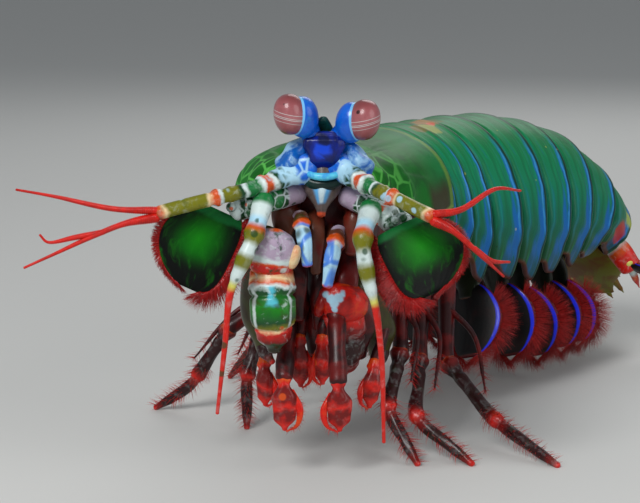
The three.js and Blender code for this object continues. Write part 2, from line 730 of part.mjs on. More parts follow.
function handArm(side, order, grow = 0) {
  const plan = handArms[side][order];
  const [root, knee, hand, tip] = [plan.root, plan.knee, plan.hand, plan.tip].map((p) => v(...p));
  const { wide } = plan;
  const stout = order === 0 ? 1.7 : 1.15;
  const stem = limb({
    joints: [root, knee, hand],
    width: [[0, 1.4], [0.45, stout], [0.85, 0.75 * stout], [1, 0.8 * stout]],
    steps: 4, sides: 5, grow,
  });
  const palm = limb({
    joints: [hand.clone().lerp(tip, -0.06), hand.clone().lerp(tip, 0.5).add(v(0, -0.5, 0)), tip],
    width: [[0, 0.9], [0.3, wide], [0.7, wide * 0.92], [1, 0.5]],
    height: [[0, 0.9], [0.4, 0.95], [1, 0.4]],
    steps: 4, sides: 6, grow,
  });
  return join([stem, palm]);
}

// Walking legs: the root, knee, ankle and foot of each, front to back
const legPlans = [
  {
    right: [v(6, 33, 34), v(-10.2, 30, 17), v(-12.4, 27, 8), v(-12.4, 24.6, 0)],
    left: [v(13.6, 29, 33), v(13.2, 16.8, 15.6), v(11, 8.8, 7.8), v(15.4, 3.2, 0)],
  },
  {
    right: [v(8, 40, 33), v(-15.6, 34, 15.6), v(-22.6, 36, 5), v(-29, 37.4, 0)],
    left: [v(18, 34, 33), v(16.4, 19, 14), v(15.6, 9, 6.4), v(24, 3.2, 0)],
  },
  {
    right: [v(11.6, 46.4, 33), v(-6, 50, 15), v(-12.4, 55, 7), v(-17, 60, 0)],
    left: [v(22.4, 39.4, 33), v(21, 22, 12.6), v(28, 12.6, 5.4), v(37.4, 2.4, 0)],
  },
];

// A stout base, a knee, a long shin with a side branch, and a foot that ends in a small flat
function walkingLeg(side, order, grow = 0) {
  const [root, knee, ankle, foot] = legPlans[order][side];
  const lift = v(0, 0, footHalfWidth * 0.35);
  const base = limb({
    joints: [root, root.clone().lerp(knee, 0.5).add(v(0, 0, -1)), knee],
    width: [[0, 1.9], [0.5, 1.5], [0.9, 1.25], [1, 1.4]],
    steps: 2, sides: 5, grow,
  });
  const shinJoints = [
    knee, knee.clone().lerp(ankle, 0.5), ankle, ankle.clone().lerp(foot, 0.55), foot.clone().add(lift),
  ];
  const shin = limb({
    joints: shinJoints,
    width: [[0, 1.35], [0.3, 1], [0.52, 1.25], [0.6, 0.95], [1, footHalfWidth * 0.8]],
    steps: 7, sides: 5, grow,
  });
  const branchRoot = root.clone().lerp(knee, 0.62);
  const branchTip = knee.clone().lerp(ankle, 0.5).add(v(sideSign[side] * 2.6, -1, 0));
  const branchBend = branchRoot.clone().lerp(branchTip, 0.4).add(v(sideSign[side] * 2, 0, 0.6));
  const branch = limb({
    joints: [branchRoot, branchBend, branchTip],
    width: [[0, 0.6], [0.7, 0.42], [1, 0.3]],
    steps: 3, sides: 4, grow,
  });
  const bristles = grow ? [] : limbBristles(shinJoints, 0.9, [0.55, 0.8], 2);
  return join([base, shin, branch, ...bristles]);
}

// Swimming limbs: a stem and an oval plate under each of the first five tail rings
function pleopodFrame(side, order) {
  const [from, to] = rings[3 + order];
  const frame = bodyFrame(from + (to - from) * 0.55);
  const sign = sideSign[side];
  const root = inBody(frame, sign * 6.6, bodyHeight / 2 - trunkDepth(from) * 0.9 + 1);
  const lean = pleopodLeans[order];
  const outward = frame.left.clone().multiplyScalar(sign);
  const down = v(0, 0, -1).addScaledVector(outward, 0.3).addScaledVector(frame.back, lean).normalize();
  const out = outward.addScaledVector(down, -outward.dot(down)).normalize();
  return { root, down, out };
}

function pleopod(side, order, grow = 0) {
  const { root, down, out } = pleopodFrame(side, order);
  const total = Math.min(pleopodStem + pleopodLength, (root.z - fringeLength - 0.6) / -down.z);
  const stem = limb({
    joints: [root.clone().addScaledVector(down, -2.4), root.clone().addScaledVector(down, pleopodStem)],
    width: [[0, 2.6], [1, 2.3]], height: [[0, 1.1], [1, 0.9]],
    steps: 1, sides: 6, grow, face: down.clone().cross(out),
  });
  const bladeRoot = root.clone().addScaledVector(down, pleopodStem - 2);
  const surface = paddleSurface({ root: bladeRoot, down, out }, total - pleopodStem + 2, pleopodWidth, 0.05);
  const blade = plate({
    surface,
    thickness: (a, b) => 1.2 - 0.4 * Math.max(Math.abs(2 * a - 1), b),
    across: 4,
    along: 3,
    grow,
  });
  const locks = grow ? [] : rimLocks(surface, 5, fringeLength, { start: 1.2, halfWidth: 0.85 });
  return join([stem, blade, ...locks]);
}

// The tail fan

function telson(grow = 0) {
  const sections = [];
  const steps = 5;
  for (let i = 0; i <= steps; i += 1) {
    const t = i / steps;
    const s = tailStart - 1.6 + (telsonLength - 3) * t + (i === 0 ? -grow : 0) + (i === steps ? grow : 0);
    const frame = bodyFrame(s);
    const halfWidth = profile([[0, 7.6], [0.15, 10.4], [0.5, 10.2], [1, 5.4]], t) + grow;
    const thick = profile([[0, 2.2], [0.3, 3.1], [1, 1]], t) + grow;
    const centre = inBody(frame, 0, profile([[0, 4.6], [1, 2.4]], t));
    sections.push(ellipseRing(centre, frame.left, frame.up, halfWidth, thick, 12));
  }
  return loft(sections);
}

// Place across and along the telson, and length, of each pair of teeth
const telsonTeeth = [[0.86, 0.5, 3], [0.76, 0.74, 3], [0.34, 0.84, 3.4]];

// Keels on the back of the telson and the teeth along its hind edge
function telsonSpines() {
  const spines = [];
  for (const across of [-0.5, 0, 0.5]) {
    const frame = bodyFrame(tailStart + telsonLength * 0.22);
    const root = inBody(frame, across * 10, 3.9 + 2.2 * Math.sqrt(1 - across * across));
    const length = telsonLength * (0.5 - 0.1 * Math.abs(across));
    spines.push(lock({ root, away: frame.back, length, halfWidth: 1.1, face: frame.up, sunk: 1.5 }));
  }
  for (const [across, along, length] of telsonTeeth) {
    for (const sign of [-1, 1]) {
      const frame = bodyFrame(tailStart - 1.6 + telsonLength * along);
      const root = inBody(frame, sign * across * 8.4, 3);
      const away = frame.back.clone().addScaledVector(frame.left, sign * 0.3).normalize();
      spines.push(lock({ root, away, length, halfWidth: 0.9, face: frame.up, sunk: 1.4 }));
    }
  }
  return spines;
}

function uropod(side, grow = 0) {
  const frame = bodyFrame(tailStart - 2);
  const sign = sideSign[side];
  const root = inBody(frame, sign * 9.4, 1.2, 0);
  const shaft = inBody(frame, sign * 14.4, -0.6, 6.4);
  const away = frame.back.clone().setZ(0).normalize();
  const out = frame.left.clone().multiplyScalar(sign);
  const down = away.clone().multiplyScalar(0.72).addScaledVector(out, 0.42).setZ(-0.62).normalize();
  const across = out.clone().addScaledVector(down, -out.dot(down)).normalize();
  const base = limb({
    joints: [root, root.clone().lerp(shaft, 0.5).add(v(0, 0, 0.6)), shaft],
    width: [[0, 1.6], [0.6, 2.4], [1, 2.2]], height: [[0, 1.5], [0.6, 1.7], [1, 1.4]],
    steps: 3, sides: 7, grow,
  });
  const reach = Math.min(uropodReach, (shaft.z - 0.8) / -down.z);
  const bladeRoot = shaft.clone().addScaledVector(across, 0.96).addScaledVector(down, -0.8);
  const bladeDown = down.clone().addScaledVector(across, 0.34).normalize();
  const surface = paddleSurface({ root: bladeRoot, down: bladeDown, out: across }, reach, uropodWidth, 0.05);
  const blade = plate({
    surface,
    thickness: (a, b) => 1.3 - 0.5 * Math.max(Math.abs(2 * a - 1), b),
    across: 4,
    along: 5,
    grow,
  });
  const prong = lock({
    root: shaft, away: frame.back, length: 6.4, halfWidth: 1.1, face: frame.up, sunk: 1.2,
  });
  const locks = grow ? [] : [prong, ...rimLocks(surface, 6, fringeLength, { start: 1.0 })];
  return join([base, blade, ...locks]);
}

// Everything below the floor is cut off level, which leaves a small flat under each foot
function floorBlock() {
  const block = new THREE.BoxGeometry(400, 400, 40);
  block.translate(0, 0, -20);
  return solidOf(block);
}

// Assembly

const model = new THREE.Group();
model.name = 'mantis_shrimp';
const animal = new THREE.Group();
model.add(animal);

function shellMaterial(color, roughness = 0.32) {
  return new THREE.MeshStandardMaterial({ color, roughness, metalness: 0 });
}

function addPart(name, solid, origin, material) {
  const geometry = geometryFrom(largestOf(solid));
  geometry.translate(-origin.x, -origin.y, -origin.z);
  geometry.computeVertexNormals();
  const part = new THREE.Mesh(geometry, material);
  part.name = name;
  part.position.copy(origin);
  animal.add(part);
}

function buildTrunk() {
  const carapaceCut = carapace(gap);
  const firstRing = trunkRing(...rings[0], { grow: gap });
  addPart('carapace', cut(carapace(), [firstRing]), bodyFrame(0).centre, shellMaterial(shellGreen));
  addPart('rostral_plate', cut(rostralPlate(), [carapaceCut]), headCentre, shellMaterial(shellTeal));
  addPart('thorax_core', cut(thoraxCore(), [carapaceCut, firstRing]), bodyFrame(12).centre,
    shellMaterial(oliveShell));
  rings.forEach(([from, to], i) => {
    const name = i < 3 ? `thoracic_somite_${i + 6}` : `abdomen_${i - 2}`;
    const next = rings[i + 1] ? [trunkRing(...rings[i + 1], { grow: gap })] : [telson(gap)];
    const colour = i % 2 ? shellGreen : shellTeal;
    addPart(name, cut(trunkRing(from, to), next), bodyFrame(from).centre, shellMaterial(colour));
  });
  const tail = cut(join([telson(), ...telsonSpines()]), [floorBlock()]);
  addPart('telson', tail, bodyFrame(tailStart).centre, shellMaterial(oliveShell));
}

function buildHead() {
  const trunkCut = [carapace(gap), thoraxCore(gap)];
  const baseCut = [rostralPlate(gap), ...trunkCut];
  addPart('eye_base', cut(eyeBase(), baseCut), headCentre, shellMaterial(deepBlue));
  const faceCut = [eyeBase(gap), ...baseCut];
  addPart('face', cut(facePlate(), faceCut), headCentre, shellMaterial(deepBlue));
  addPart('epistome', cut(epistome(), [facePlate(gap), ...faceCut]), headCentre, shellMaterial(paleBlue));
  for (const side of ['right', 'left']) {
    const headCut = [epistome(gap), facePlate(gap), ...faceCut];
    const eye = eyes[side];
    const stalkTools = [cornea(eye, gap), facePlate(gap), ...faceCut];
    addPart(`eyestalk_${side}`, cut(eyestalk(eye), stalkTools), eye.foot, shellMaterial(deepBlue));
    addPart(`eye_${side}`, cut(cornea(eye), []), eye.centre, shellMaterial(corneaPink, 0.12));
    addPart(`antennule_${side}`, cut(antennule(side), [eyestalk(eye, gap), ...headCut]),
      antennuleJoints[side][0], shellMaterial(shellGreen));
    addPart(`antennule_flagella_${side}`, cut(whips(side), [antennule(side, gap)]), whipPaths[side][0][0],
      shellMaterial(limbRed));
    addPart(`antenna_base_${side}`, cut(antennaBase(side), [antennule(side, gap), ...headCut]),
      antennaBases[side][0], shellMaterial(limbRed));
    addPart(`antennal_scale_${side}`, cut(antennalScale(side), [antennaBase(side, gap), antennule(side, gap)]),
      paddles[side].root, shellMaterial(shellGreen));
    const stalkCut = [antennaBase(side, gap), antennule(side, gap), antennalScale(side, gap)];
    addPart(`antenna_${side}`, cut(antenna(side), stalkCut), antennaJoints[side][0],
      shellMaterial(limbRed));
  }
}

function buildMouthLimbs() {
  for (const side of ['right', 'left']) {
    const trunk = [thoraxCore(gap), carapace(gap)];
    const mouth = [epistome(gap), antennaBase(side, gap), ...trunk];
    addPart(`maxilliped_1_${side}`, cut(maxilliped1(side), mouth), firstMaxillipeds[side][0],
      shellMaterial(paleBlue));
    addPart(`raptorial_arm_${side}`, cut(raptorialArm(side), [antennaBase(side, gap), ...trunk]),
      raptors[side].root, shellMaterial(oliveShell));
    const clawCut = [
      raptorialArm(side, gap), antennaBase(side, gap), antenna(side, gap), maxilliped1(side, gap), ...trunk,
    ];
    addPart(`raptorial_claw_${side}`, cut(raptorialClaw(side), clawCut), raptors[side].wrist,
      shellMaterial(shellGreen));
    for (let order = 0; order < 3; order += 1) {
      const others = [raptorialArm(side, gap), raptorialClaw(side, gap)];
      for (let inner = 0; inner < order; inner += 1) others.push(handArm(side, inner, gap));
      addPart(`maxilliped_${order + 3}_${side}`, cut(handArm(side, order), [...others, ...trunk]),
        v(...handArms[side][order].root), shellMaterial(limbMaroon));
    }
  }
}

function buildWalkingLimbs() {
  const trunk = rings.slice(0, 4).map((ring) => trunkRing(...ring, { grow: 1.4 * gap }));
  for (const side of ['right', 'left']) {
    for (let order = 0; order < 3; order += 1) {
      const tools = [floorBlock(), thoraxCore(0.8 * gap), carapace(gap), ...trunk];
      for (let front = 0; front < order; front += 1) tools.push(walkingLeg(side, front, gap));
      addPart(`leg_${order + 1}_${side}`, cut(walkingLeg(side, order), tools), legPlans[order][side][0],
        shellMaterial(limbMaroon));
    }
  }
}

function buildTailLimbs() {
  for (const side of ['right', 'left']) {
    for (let order = 0; order < 5; order += 1) {
      const under = rings.slice(2 + order, 5 + order).map((ring) => trunkRing(...ring, { grow: gap }));
      addPart(`pleopod_${order + 1}_${side}`, cut(pleopod(side, order), [floorBlock(), ...under]),
        pleopodFrame(side, order).root, shellMaterial(darkPlate));
    }
    const tail = [telson(gap), trunkRing(...rings[rings.length - 1], { grow: gap }), floorBlock()];
    addPart(`uropod_${side}`, cut(uropod(side), tail), bodyFrame(tailStart).centre, shellMaterial(limbRed));
  }
}

buildTrunk();
buildHead();
buildMouthLimbs();
buildWalkingLimbs();
buildTailLimbs();

// The origin is on the floor, under the middle of the whole animal
const extent = new THREE.Box3().setFromObject(animal);
animal.position.set(-(extent.min.x + extent.max.x) / 2, -(extent.min.y + extent.max.y) / 2, -extent.min.z);

export default model;
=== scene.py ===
import math

import bpy
import numpy as np
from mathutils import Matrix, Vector


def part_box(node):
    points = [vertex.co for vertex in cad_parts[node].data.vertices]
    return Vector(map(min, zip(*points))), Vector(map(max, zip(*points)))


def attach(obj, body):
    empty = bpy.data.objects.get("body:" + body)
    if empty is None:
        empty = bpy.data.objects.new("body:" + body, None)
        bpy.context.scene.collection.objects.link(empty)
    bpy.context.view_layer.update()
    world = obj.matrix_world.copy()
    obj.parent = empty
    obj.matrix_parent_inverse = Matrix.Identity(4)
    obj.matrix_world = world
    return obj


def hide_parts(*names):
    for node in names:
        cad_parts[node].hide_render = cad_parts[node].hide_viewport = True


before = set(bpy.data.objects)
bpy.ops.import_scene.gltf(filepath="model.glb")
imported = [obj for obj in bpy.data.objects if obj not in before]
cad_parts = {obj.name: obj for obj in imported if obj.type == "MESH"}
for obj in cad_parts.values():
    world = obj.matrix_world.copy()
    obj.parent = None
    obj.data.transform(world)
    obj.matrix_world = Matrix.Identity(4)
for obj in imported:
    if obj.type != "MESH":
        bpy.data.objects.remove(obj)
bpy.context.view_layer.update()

mm = 0.001
rng = np.random.default_rng(11)

# Point (0, 0, 0) of the design sits in front of the face. The left cornea fixes it in the frame.
leftCornea = np.array([6.6, -1.6, 55.2])
lowCorner, highCorner = (np.array(c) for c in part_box("eye_left"))
origin = (lowCorner + highCorner) / 2 - leftCornea * mm

# The animal's right is toward -X
sideSign = {"right": -1, "left": 1}


# Curves and profiles

# Smooth step: 3t^2 - 2t^3 between 0 and 1
def ease(t):
    t = np.clip(t, 0, 1)
    return t * t * (3 - 2 * t)


# Value at t of a chain of [place, value] pairs, eased between neighbours
def profile(pairs, t):
    t = np.asarray(t, float)
    pairs = np.asarray(pairs, float)
    i = np.clip(np.searchsorted(pairs[:, 0], t, side="right") - 1, 0, len(pairs) - 2)
    a, b = pairs[i], pairs[i + 1]
    k = ease((t - a[..., 0]) / np.maximum(b[..., 0] - a[..., 0], 1e-9))
    return a[..., 1] + (b[..., 1] - a[..., 1]) * k


# A hump exp(-(x / w)^2)
def hump(x, w):
    return np.exp(-(x / w) ** 2)


def unit(a):
    return a / np.maximum(np.linalg.norm(a, axis=-1, keepdims=True), 1e-12)


# Centripetal Catmull-Rom curve through the joints, sampled evenly by length: points and tangents
def smoothPath(joints, steps):
    p = np.asarray(joints, float)
    p = np.vstack([2 * p[0] - p[1], p, 2 * p[-1] - p[-2]])
    u = np.linspace(0, 1, 60)[:, None]
    a = 2 * u ** 3 - 3 * u ** 2 + 1
    b = u ** 3 - 2 * u ** 2 + u
    c = -2 * u ** 3 + 3 * u ** 2
    d = u ** 3 - u ** 2
    dense = []
    for i in range(1, len(p) - 2):
        k = [np.sqrt(np.linalg.norm(p[i + j] - p[i + j - 1])) for j in (0, 1, 2)]
        step = (p[i + 1] - p[i]) / k[1]
        m1 = k[1] * ((p[i] - p[i - 1]) / k[0] - (p[i + 1] - p[i - 1]) / (k[0] + k[1]) + step)
        m2 = k[1] * (step - (p[i + 2] - p[i]) / (k[1] + k[2]) + (p[i + 2] - p[i + 1]) / k[2])
        dense.append(a * p[i] + b * m1 + c * p[i + 1] + d * m2)
    dense = np.vstack(dense)
    run = np.concatenate([[0], np.cumsum(np.linalg.norm(np.diff(dense, axis=0), axis=1))])
    at = np.linspace(0, run[-1], steps + 1)
    points = np.stack([np.interp(at, run, dense[:, k]) for k in range(3)], 1)
    return points, unit(np.gradient(points, axis=0))


# Meshes

# A mesh object from design millimetres. Faces are given as one run of corners and their count per face
def makeMesh(name, verts, loops, counts, uvs, material, uvName="Surface"):
    mesh = bpy.data.meshes.new(name)
    world = verts * mm + origin
    mesh.vertices.add(len(world))
    mesh.vertices.foreach_set("co", world.astype(np.float32).ravel())
    mesh.loops.add(len(loops))
    mesh.loops.foreach_set("vertex_index", loops.astype(np.int32))
    starts = np.concatenate([[0], np.cumsum(counts)[:-1]])
    mesh.polygons.add(len(counts))
    mesh.polygons.foreach_set("loop_start", starts.astype(np.int32))
    mesh.polygons.foreach_set("loop_total", counts.astype(np.int32))
    mesh.polygons.foreach_set("use_smooth", np.full(len(counts), True))
    layer = mesh.uv_layers.new(name=uvName)
    layer.data.foreach_set("uv", uvs.astype(np.float32).ravel())
    mesh.update(calc_edges=True)
    mesh.validate()
    if volumeOf(mesh) < 0:
        mesh.flip_normals()
    mesh.materials.append(material)
    piece = bpy.data.objects.new(name, mesh)
    bpy.context.scene.collection.objects.link(piece)
    return piece


# Signed volume of a closed mesh: the sum of a . (b x c) / 6 over its triangles
def volumeOf(mesh):
    mesh.calc_loop_triangles()
    co = np.empty(len(mesh.vertices) * 3, np.float32)
    mesh.vertices.foreach_get("co", co)
    tri = np.empty(len(mesh.loop_triangles) * 3, np.int32)
    mesh.loop_triangles.foreach_get("vertices", tri)
    a, b, c = (co.reshape(-1, 3)[tri.reshape(-1, 3)[:, k]].astype(float) for k in range(3))
    middle = co.reshape(-1, 3).mean(0)
    return float((np.cross(a - middle, b - middle) * (c - middle)).sum() / 6)


# Vertices of a grid (rows, columns, 3), then the middle of its first and of its last row
def gridVerts(points):
    return np.vstack([points.reshape(-1, 3), points[0].mean(0), points[-1].mean(0)])


# A grid as a closed mesh: its last column joins the first and a fan closes each end.
# The UV map Surface holds column and row, each from 0 to 1
def gridMesh(name, points, material):
    rows, cols = points.shape[:2]
    r, c = np.meshgrid(np.arange(rows - 1), np.arange(cols), indexing="ij")
    r, c = r.ravel(), c.ravel()
    nextC = (c + 1) % cols
    quads = np.stack([r * cols + c, r * cols + nextC, (r + 1) * cols + nextC, (r + 1) * cols + c], 1)
    across, along = np.stack([c, c + 1, c + 1, c], 1) / cols, np.stack([r, r, r + 1, r + 1], 1) / (rows - 1)
    quadUv = np.stack([across, along], -1)
    loops, counts, uvs = [quads.ravel()], [np.full(len(quads), 4)], [quadUv.reshape(-1, 2)]
    k = np.arange(cols)
    for end, start, order in ((0, 0, (0, 2, 1)), (1, (rows - 1) * cols, (0, 1, 2))):
        corners = (np.full(cols, rows * cols + end), start + k, start + (k + 1) % cols)
        places = [np.stack([(k + shift) / cols, np.full(cols, float(end))], 1) for shift in (0.5, 0, 1)]
        loops.append(np.stack([corners[i] for i in order], 1).ravel())
        counts.append(np.full(cols, 3))
        uvs.append(np.stack([places[i] for i in order], 1).reshape(-1, 2))
    loops, counts, uvs = (np.concatenate(part) for part in (loops, counts, uvs))
    return makeMesh(name, gridVerts(points), loops, counts, uvs, material)


# A thin plate: its middle grid moved half the thickness to each face, thinner in a band along the rim
def plateMesh(name, middle, thickness, material):
    normal = unit(np.cross(np.gradient(middle, axis=1), np.gradient(middle, axis=0)))
    rows, cols = middle.shape[:2]
    iu = np.linspace(0, 1, cols)[None]
    iv = np.linspace(0, 1, rows)[:, None]
    rim = np.minimum(1, np.minimum(np.minimum(iu, 1 - iu), np.minimum(iv, 1 - iv)) * 16)
    half = (thickness / 2 * (0.3 + 0.7 * np.sqrt(rim)))[..., None]
    verts = np.concatenate([(middle + normal * half).reshape(-1, 3), (middle - normal * half).reshape(-1, 3)])
    total = rows * cols
    r, c = np.meshgrid(np.arange(rows - 1), np.arange(cols - 1), indexing="ij")
    a = r.ravel() * cols + c.ravel()
    quad = np.stack([a, a + 1, a + cols + 1, a + cols], 1)
    edge = np.concatenate([np.arange(cols - 1), np.arange(rows - 1) * cols + cols - 1,
                           (rows - 1) * cols + np.arange(cols - 1, 0, -1), np.arange(rows - 1, 0, -1) * cols])
    after = np.roll(edge, -1)
    rimQuads = np.stack([after, edge, edge + total, after + total], 1)
    quads = np.concatenate([quad, quad[:, ::-1] + total, rimQuads])
    vertUv = np.stack([np.tile(iu, (rows, 1)), np.tile(iv, (1, cols))], -1).reshape(-1, 2)
    loops = quads.ravel()
    return makeMesh(name, verts, loops, np.full(len(quads), 4), np.vstack([vertUv, vertUv])[loops], material)


# A number per point kept on the mesh for its material to read
def pointValue(piece, label, values):
    layer = piece.data.attributes.new(label, "FLOAT", "POINT")
    layer.data.foreach_set("value", np.asarray(values, np.float32).ravel())


# Every piece rides the one body. It replaces the solid named node, when one is given
def dress(piece, node=None):
    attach(piece, "root")
    if node:
        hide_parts(node)
    return piece


def addGrid(name, grid, material, node=None):
    return dress(gridMesh(name, grid, material), node)


# An oval carried down a smooth path, half sizes from profiles, its radius times 1 + relief(t, angle).
# Each end is domed by 5 rings that close as a quarter circle
def limbGrid(joints, width, height=None, steps=60, sides=28, face=(0, -1, 0), relief=None, square=1.0):
    points, tangents = smoothPath(joints, steps)
    t = np.linspace(0, 1, steps + 1)
    sideways = unit(np.cross(tangents, np.asarray(face, float)))
    upwards = unit(np.cross(sideways, tangents))
    w = profile(width, t)
    h = profile(height if height is not None else width, t)
    dome = np.linspace(0.12, np.pi / 2, 6)[:-1]
    shift = np.concatenate([-np.cos(dome), np.zeros(steps + 1), np.cos(dome[::-1])])
    scale = np.concatenate([np.sin(dome), np.ones(steps + 1), np.sin(dome[::-1])])
    pick = np.concatenate([np.zeros(5, int), np.arange(steps + 1), np.full(5, steps)])
    reach = 0.75 * np.minimum(w, h)[pick] * shift
    centre = points[pick] + tangents[pick] * reach[:, None]
    angle = np.arange(sides) * 2 * np.pi / sides
    ca, sa = np.cos(angle), np.sin(angle)
    if square != 1.0:
        ca, sa = np.sign(ca) * np.abs(ca) ** square, np.sign(sa) * np.abs(sa) ** square
    extra = np.zeros((len(pick), sides)) if relief is None else relief(t[pick][:, None], angle[None, :])
    a = (w[pick] * scale)[:, None] * ca * (1 + extra)
    b = (h[pick] * scale)[:, None] * sa * (1 + extra)
    return centre[:, None] + a[..., None] * sideways[pick][:, None] + b[..., None] * upwards[pick][:, None]


# A limb as a finished piece. Gives back its grid, for bristles to stand on
def limb(name, material, slotName, joints, width, height=None, node=None, **shape):
    grid = limbGrid(joints, width, height, **shape)
    addGrid(name, grid, material, node)
    return grid


# An egg: rings from pole to pole along an axis, swelling as the sine to the power 0.85
def eggGrid(centre, axis, across, long, wide, deep, rings=40, sides=48):
    axis = unit(np.asarray(axis, float))
    across = np.asarray(across, float)
    sideways = unit(across - axis * (across @ axis))
    forwards = np.cross(axis, sideways)
    a = np.linspace(0.03, np.pi - 0.03, rings)
    angle = np.arange(sides) * 2 * np.pi / sides
    swell = (np.sin(a) ** 0.85)[:, None]
    return (np.asarray(centre, float) - axis * (np.cos(a) * long)[:, None, None]
            + sideways * (swell * wide * np.cos(angle))[..., None]
            + forwards * (swell * deep * np.sin(angle))[..., None])


# The paddle surface at (a across, b along): an oval of half width sqrt(1 - (2t - 1)^2)^0.85, bowed to one
# face. spec holds its root and the directions down and out; stem is the share cut off at the root
def paddleGrid(spec, length, width, stem, a, b):
    root = np.array(spec["root"], float)
    down = unit(np.array(spec["down"], float))
    out = unit(np.array(spec["out"], float))
    t = stem + (1 - stem) * b
    oval = np.sqrt(np.maximum(0, 1 - (2 * (0.5 + (t - 0.5) * 0.985) - 1) ** 2)) ** 0.85
    x = (2 * a - 1) * width / 2 * oval
    bow = (0.9 * (1 - (x / (width / 2)) ** 2) - 0.5) * 0.8
    outward = x + 0.15 * width * np.sin(np.pi * t)
    return (root + down * (length * (t - stem))[..., None] + out * outward[..., None]
            + np.cross(down, out) * bow[..., None])


# Hairs

hairTaper = 0.86  # share of its radius that a hair loses toward its tip
hairPatch = 0.003  # width of a hair's own patch on the map OFBake


# Each hair is a three-sided tapered spike bent toward "bend". All arrays hold one row per hair
def hairs(name, roots, dirs, bend, length, radius, rootUv, material, segments=4):
    dirs = unit(dirs)
    radius = np.full(len(roots), radius)
    # A hair that would reach below the floor is left out
    kept = roots[:, 2] + (dirs[:, 2] + bend[:, 2]) * length > radius + 0.02
    roots, dirs, bend, rootUv, length, radius = (k[kept] for k in (roots, dirs, bend, rootUv, length, radius))
    n = len(roots)
    side = unit(np.cross(dirs, np.where(np.abs(dirs[:, 2:3]) > 0.9, [[1.0, 0, 0]], [[0, 0, 1.0]])))
    other = np.cross(dirs, side)
    s = np.linspace(0, 1, segments + 1)
    along, droop = s * length[:, None], s ** 2 * length[:, None]
    spine = roots[:, None] + dirs[:, None] * along[..., None] + bend[:, None] * droop[..., None]
    r = radius[:, None] * (1 - hairTaper * s)
    angle = np.arange(3) * 2 * np.pi / 3
    ring = np.cos(angle)[:, None] * side[:, None, None] + np.sin(angle)[:, None] * other[:, None, None]
    verts = spine[:, :, None] + ring * r[..., None, None]
    k, j = (part.ravel() for part in np.meshgrid(np.arange(segments), np.arange(3), indexing="ij"))
    f = (j + 1) % 3
    quads = np.stack([k * 3 + j, k * 3 + f, (k + 1) * 3 + f, (k + 1) * 3 + j], 1)
    base = (np.arange(n) * (segments + 1) * 3)[:, None, None]
    top = segments * 3
    faces = [(quads[None] + base).ravel(), (np.array([[[2, 1, 0]]]) + base).ravel(),
             (np.array([[[top, top + 1, top + 2]]]) + base).ravel()]
    loops = np.concatenate(faces)
    counts = np.concatenate([np.full(n * len(quads), 4), np.full(2 * n, 3)])
    local = np.stack([np.tile(np.arange(3) / 3, segments + 1), np.repeat(s, 3)], 1)
    uvs = (rootUv[:, None] + hairPatch * (local[None] - 0.5)).reshape(-1, 2)[loops]
    dress(makeMesh(name, verts.reshape(-1, 3), loops, counts, uvs, material, "OFBake"))


# Hairs along the rim of a paddle from one shoulder round the tip to the other, pointing outward.
# edges scales their length along the two sides
def rimHairs(name, surface, count, length, radius, material, start, spread, edges=(1.0, 1.0)):
    f = rng.uniform(0, 1, count)
    phi = start + (2 * np.pi - 2 * start) * np.sort(f)
    b = (1 - np.cos(phi)) / 2
    a = np.where(phi < np.pi, 1.0, 0.0)
    near = surface(a, np.clip(b, 0.0, 0.995))
    inner = surface(0.5 + (a - 0.5) * 0.8, np.clip(0.45 + (b - 0.45) * 0.8, 0, 1))
    outward = unit(near - inner)
    middle = np.full(count, 0.5)
    du = surface(middle + 0.05, b) - surface(middle - 0.05, b)
    dv = surface(middle, np.clip(b + 0.05, 0, 1)) - surface(middle, np.clip(b - 0.05, 0, 1))
    normal = unit(np.cross(du, dv))
    roots = near - outward * 0.35 + normal * rng.uniform(-0.25, 0.25, count)[:, None]
    dirs = outward + rng.normal(0, spread, (count, 3))
    bend = rng.normal(0, 0.08, (count, 3))
    size = length * rng.uniform(0.72, 1.08, count) * (0.6 + 0.4 * np.sin(np.clip(phi / 2, 0, np.pi)))
    size = size * (edges[0] + (edges[1] - edges[0]) * ease(0.5 + 0.75 * np.sin(phi)))
    rootUv = np.stack([0.5 + 0.48 * np.cos(phi), 0.5 + 0.48 * np.sin(phi)], 1)
    hairs(name, roots, dirs, bend, size + 0.35, radius, rootUv, material)


# Bristles in a sleeve round a limb between two places along it
def sleeveBristles(name, grid, count, low, high, length, radius, lean=0.5):
    rows, cols = grid.shape[:2]
    row = rng.uniform(low, high, count) * (rows - 1)
    col = rng.integers(0, cols, count)
    r0 = row.astype(int)
    at = grid[r0, col]
    onward = unit(grid[np.minimum(r0 + 3, rows - 1)].mean(1) - grid[np.maximum(r0 - 3, 0)].mean(1))
    outward = unit(at - grid[r0].mean(1))
    dirs = outward + onward * lean + rng.normal(0, 0.15, (count, 3))
    size = length * rng.uniform(0.5, 1.15, count)
    rootUv = np.stack([0.02 + 0.96 * col / cols, 0.02 + 0.96 * row / rows], 1)
    roots = at - outward * 0.12
    hairs(name, roots, dirs, onward * 0.15, size, radius, rootUv, bristleHair, segments=3)


# Shader helpers

# An input takes a link from another node's output, or a fixed value on its own socket
def addNode(tree, kind, inputs=None, **settings):
    node = tree.nodes.new(kind)
    for key, value in settings.items():
        setattr(node, key, value)
    for key, value in (inputs or {}).items():
        if isinstance(value, bpy.types.NodeSocket):
            tree.links.new(value, node.inputs[key])
        else:
            node.inputs[key].default_value = value
    return node


# Linear colour from the 0 to 255 values of a screen colour
def rgb(r, g, b):
    lin = [((c / 255 + 0.055) / 1.055) ** 2.4 if c > 10 else c / 255 / 12.92 for c in (r, g, b)]
    return (*lin, 1.0)


def mathNode(tree, operation, a, b=0.0):
    return addNode(tree, "ShaderNodeMath", {0: a, 1: b}, operation=operation).outputs[0]


# From 0 at low to 1 at high, eased at both ends
def softStep(tree, value, low, high):
    return addNode(tree, "ShaderNodeMapRange", {"Value": value, "From Min": low, "From Max": high},
                   interpolation_type="SMOOTHSTEP").outputs["Result"]


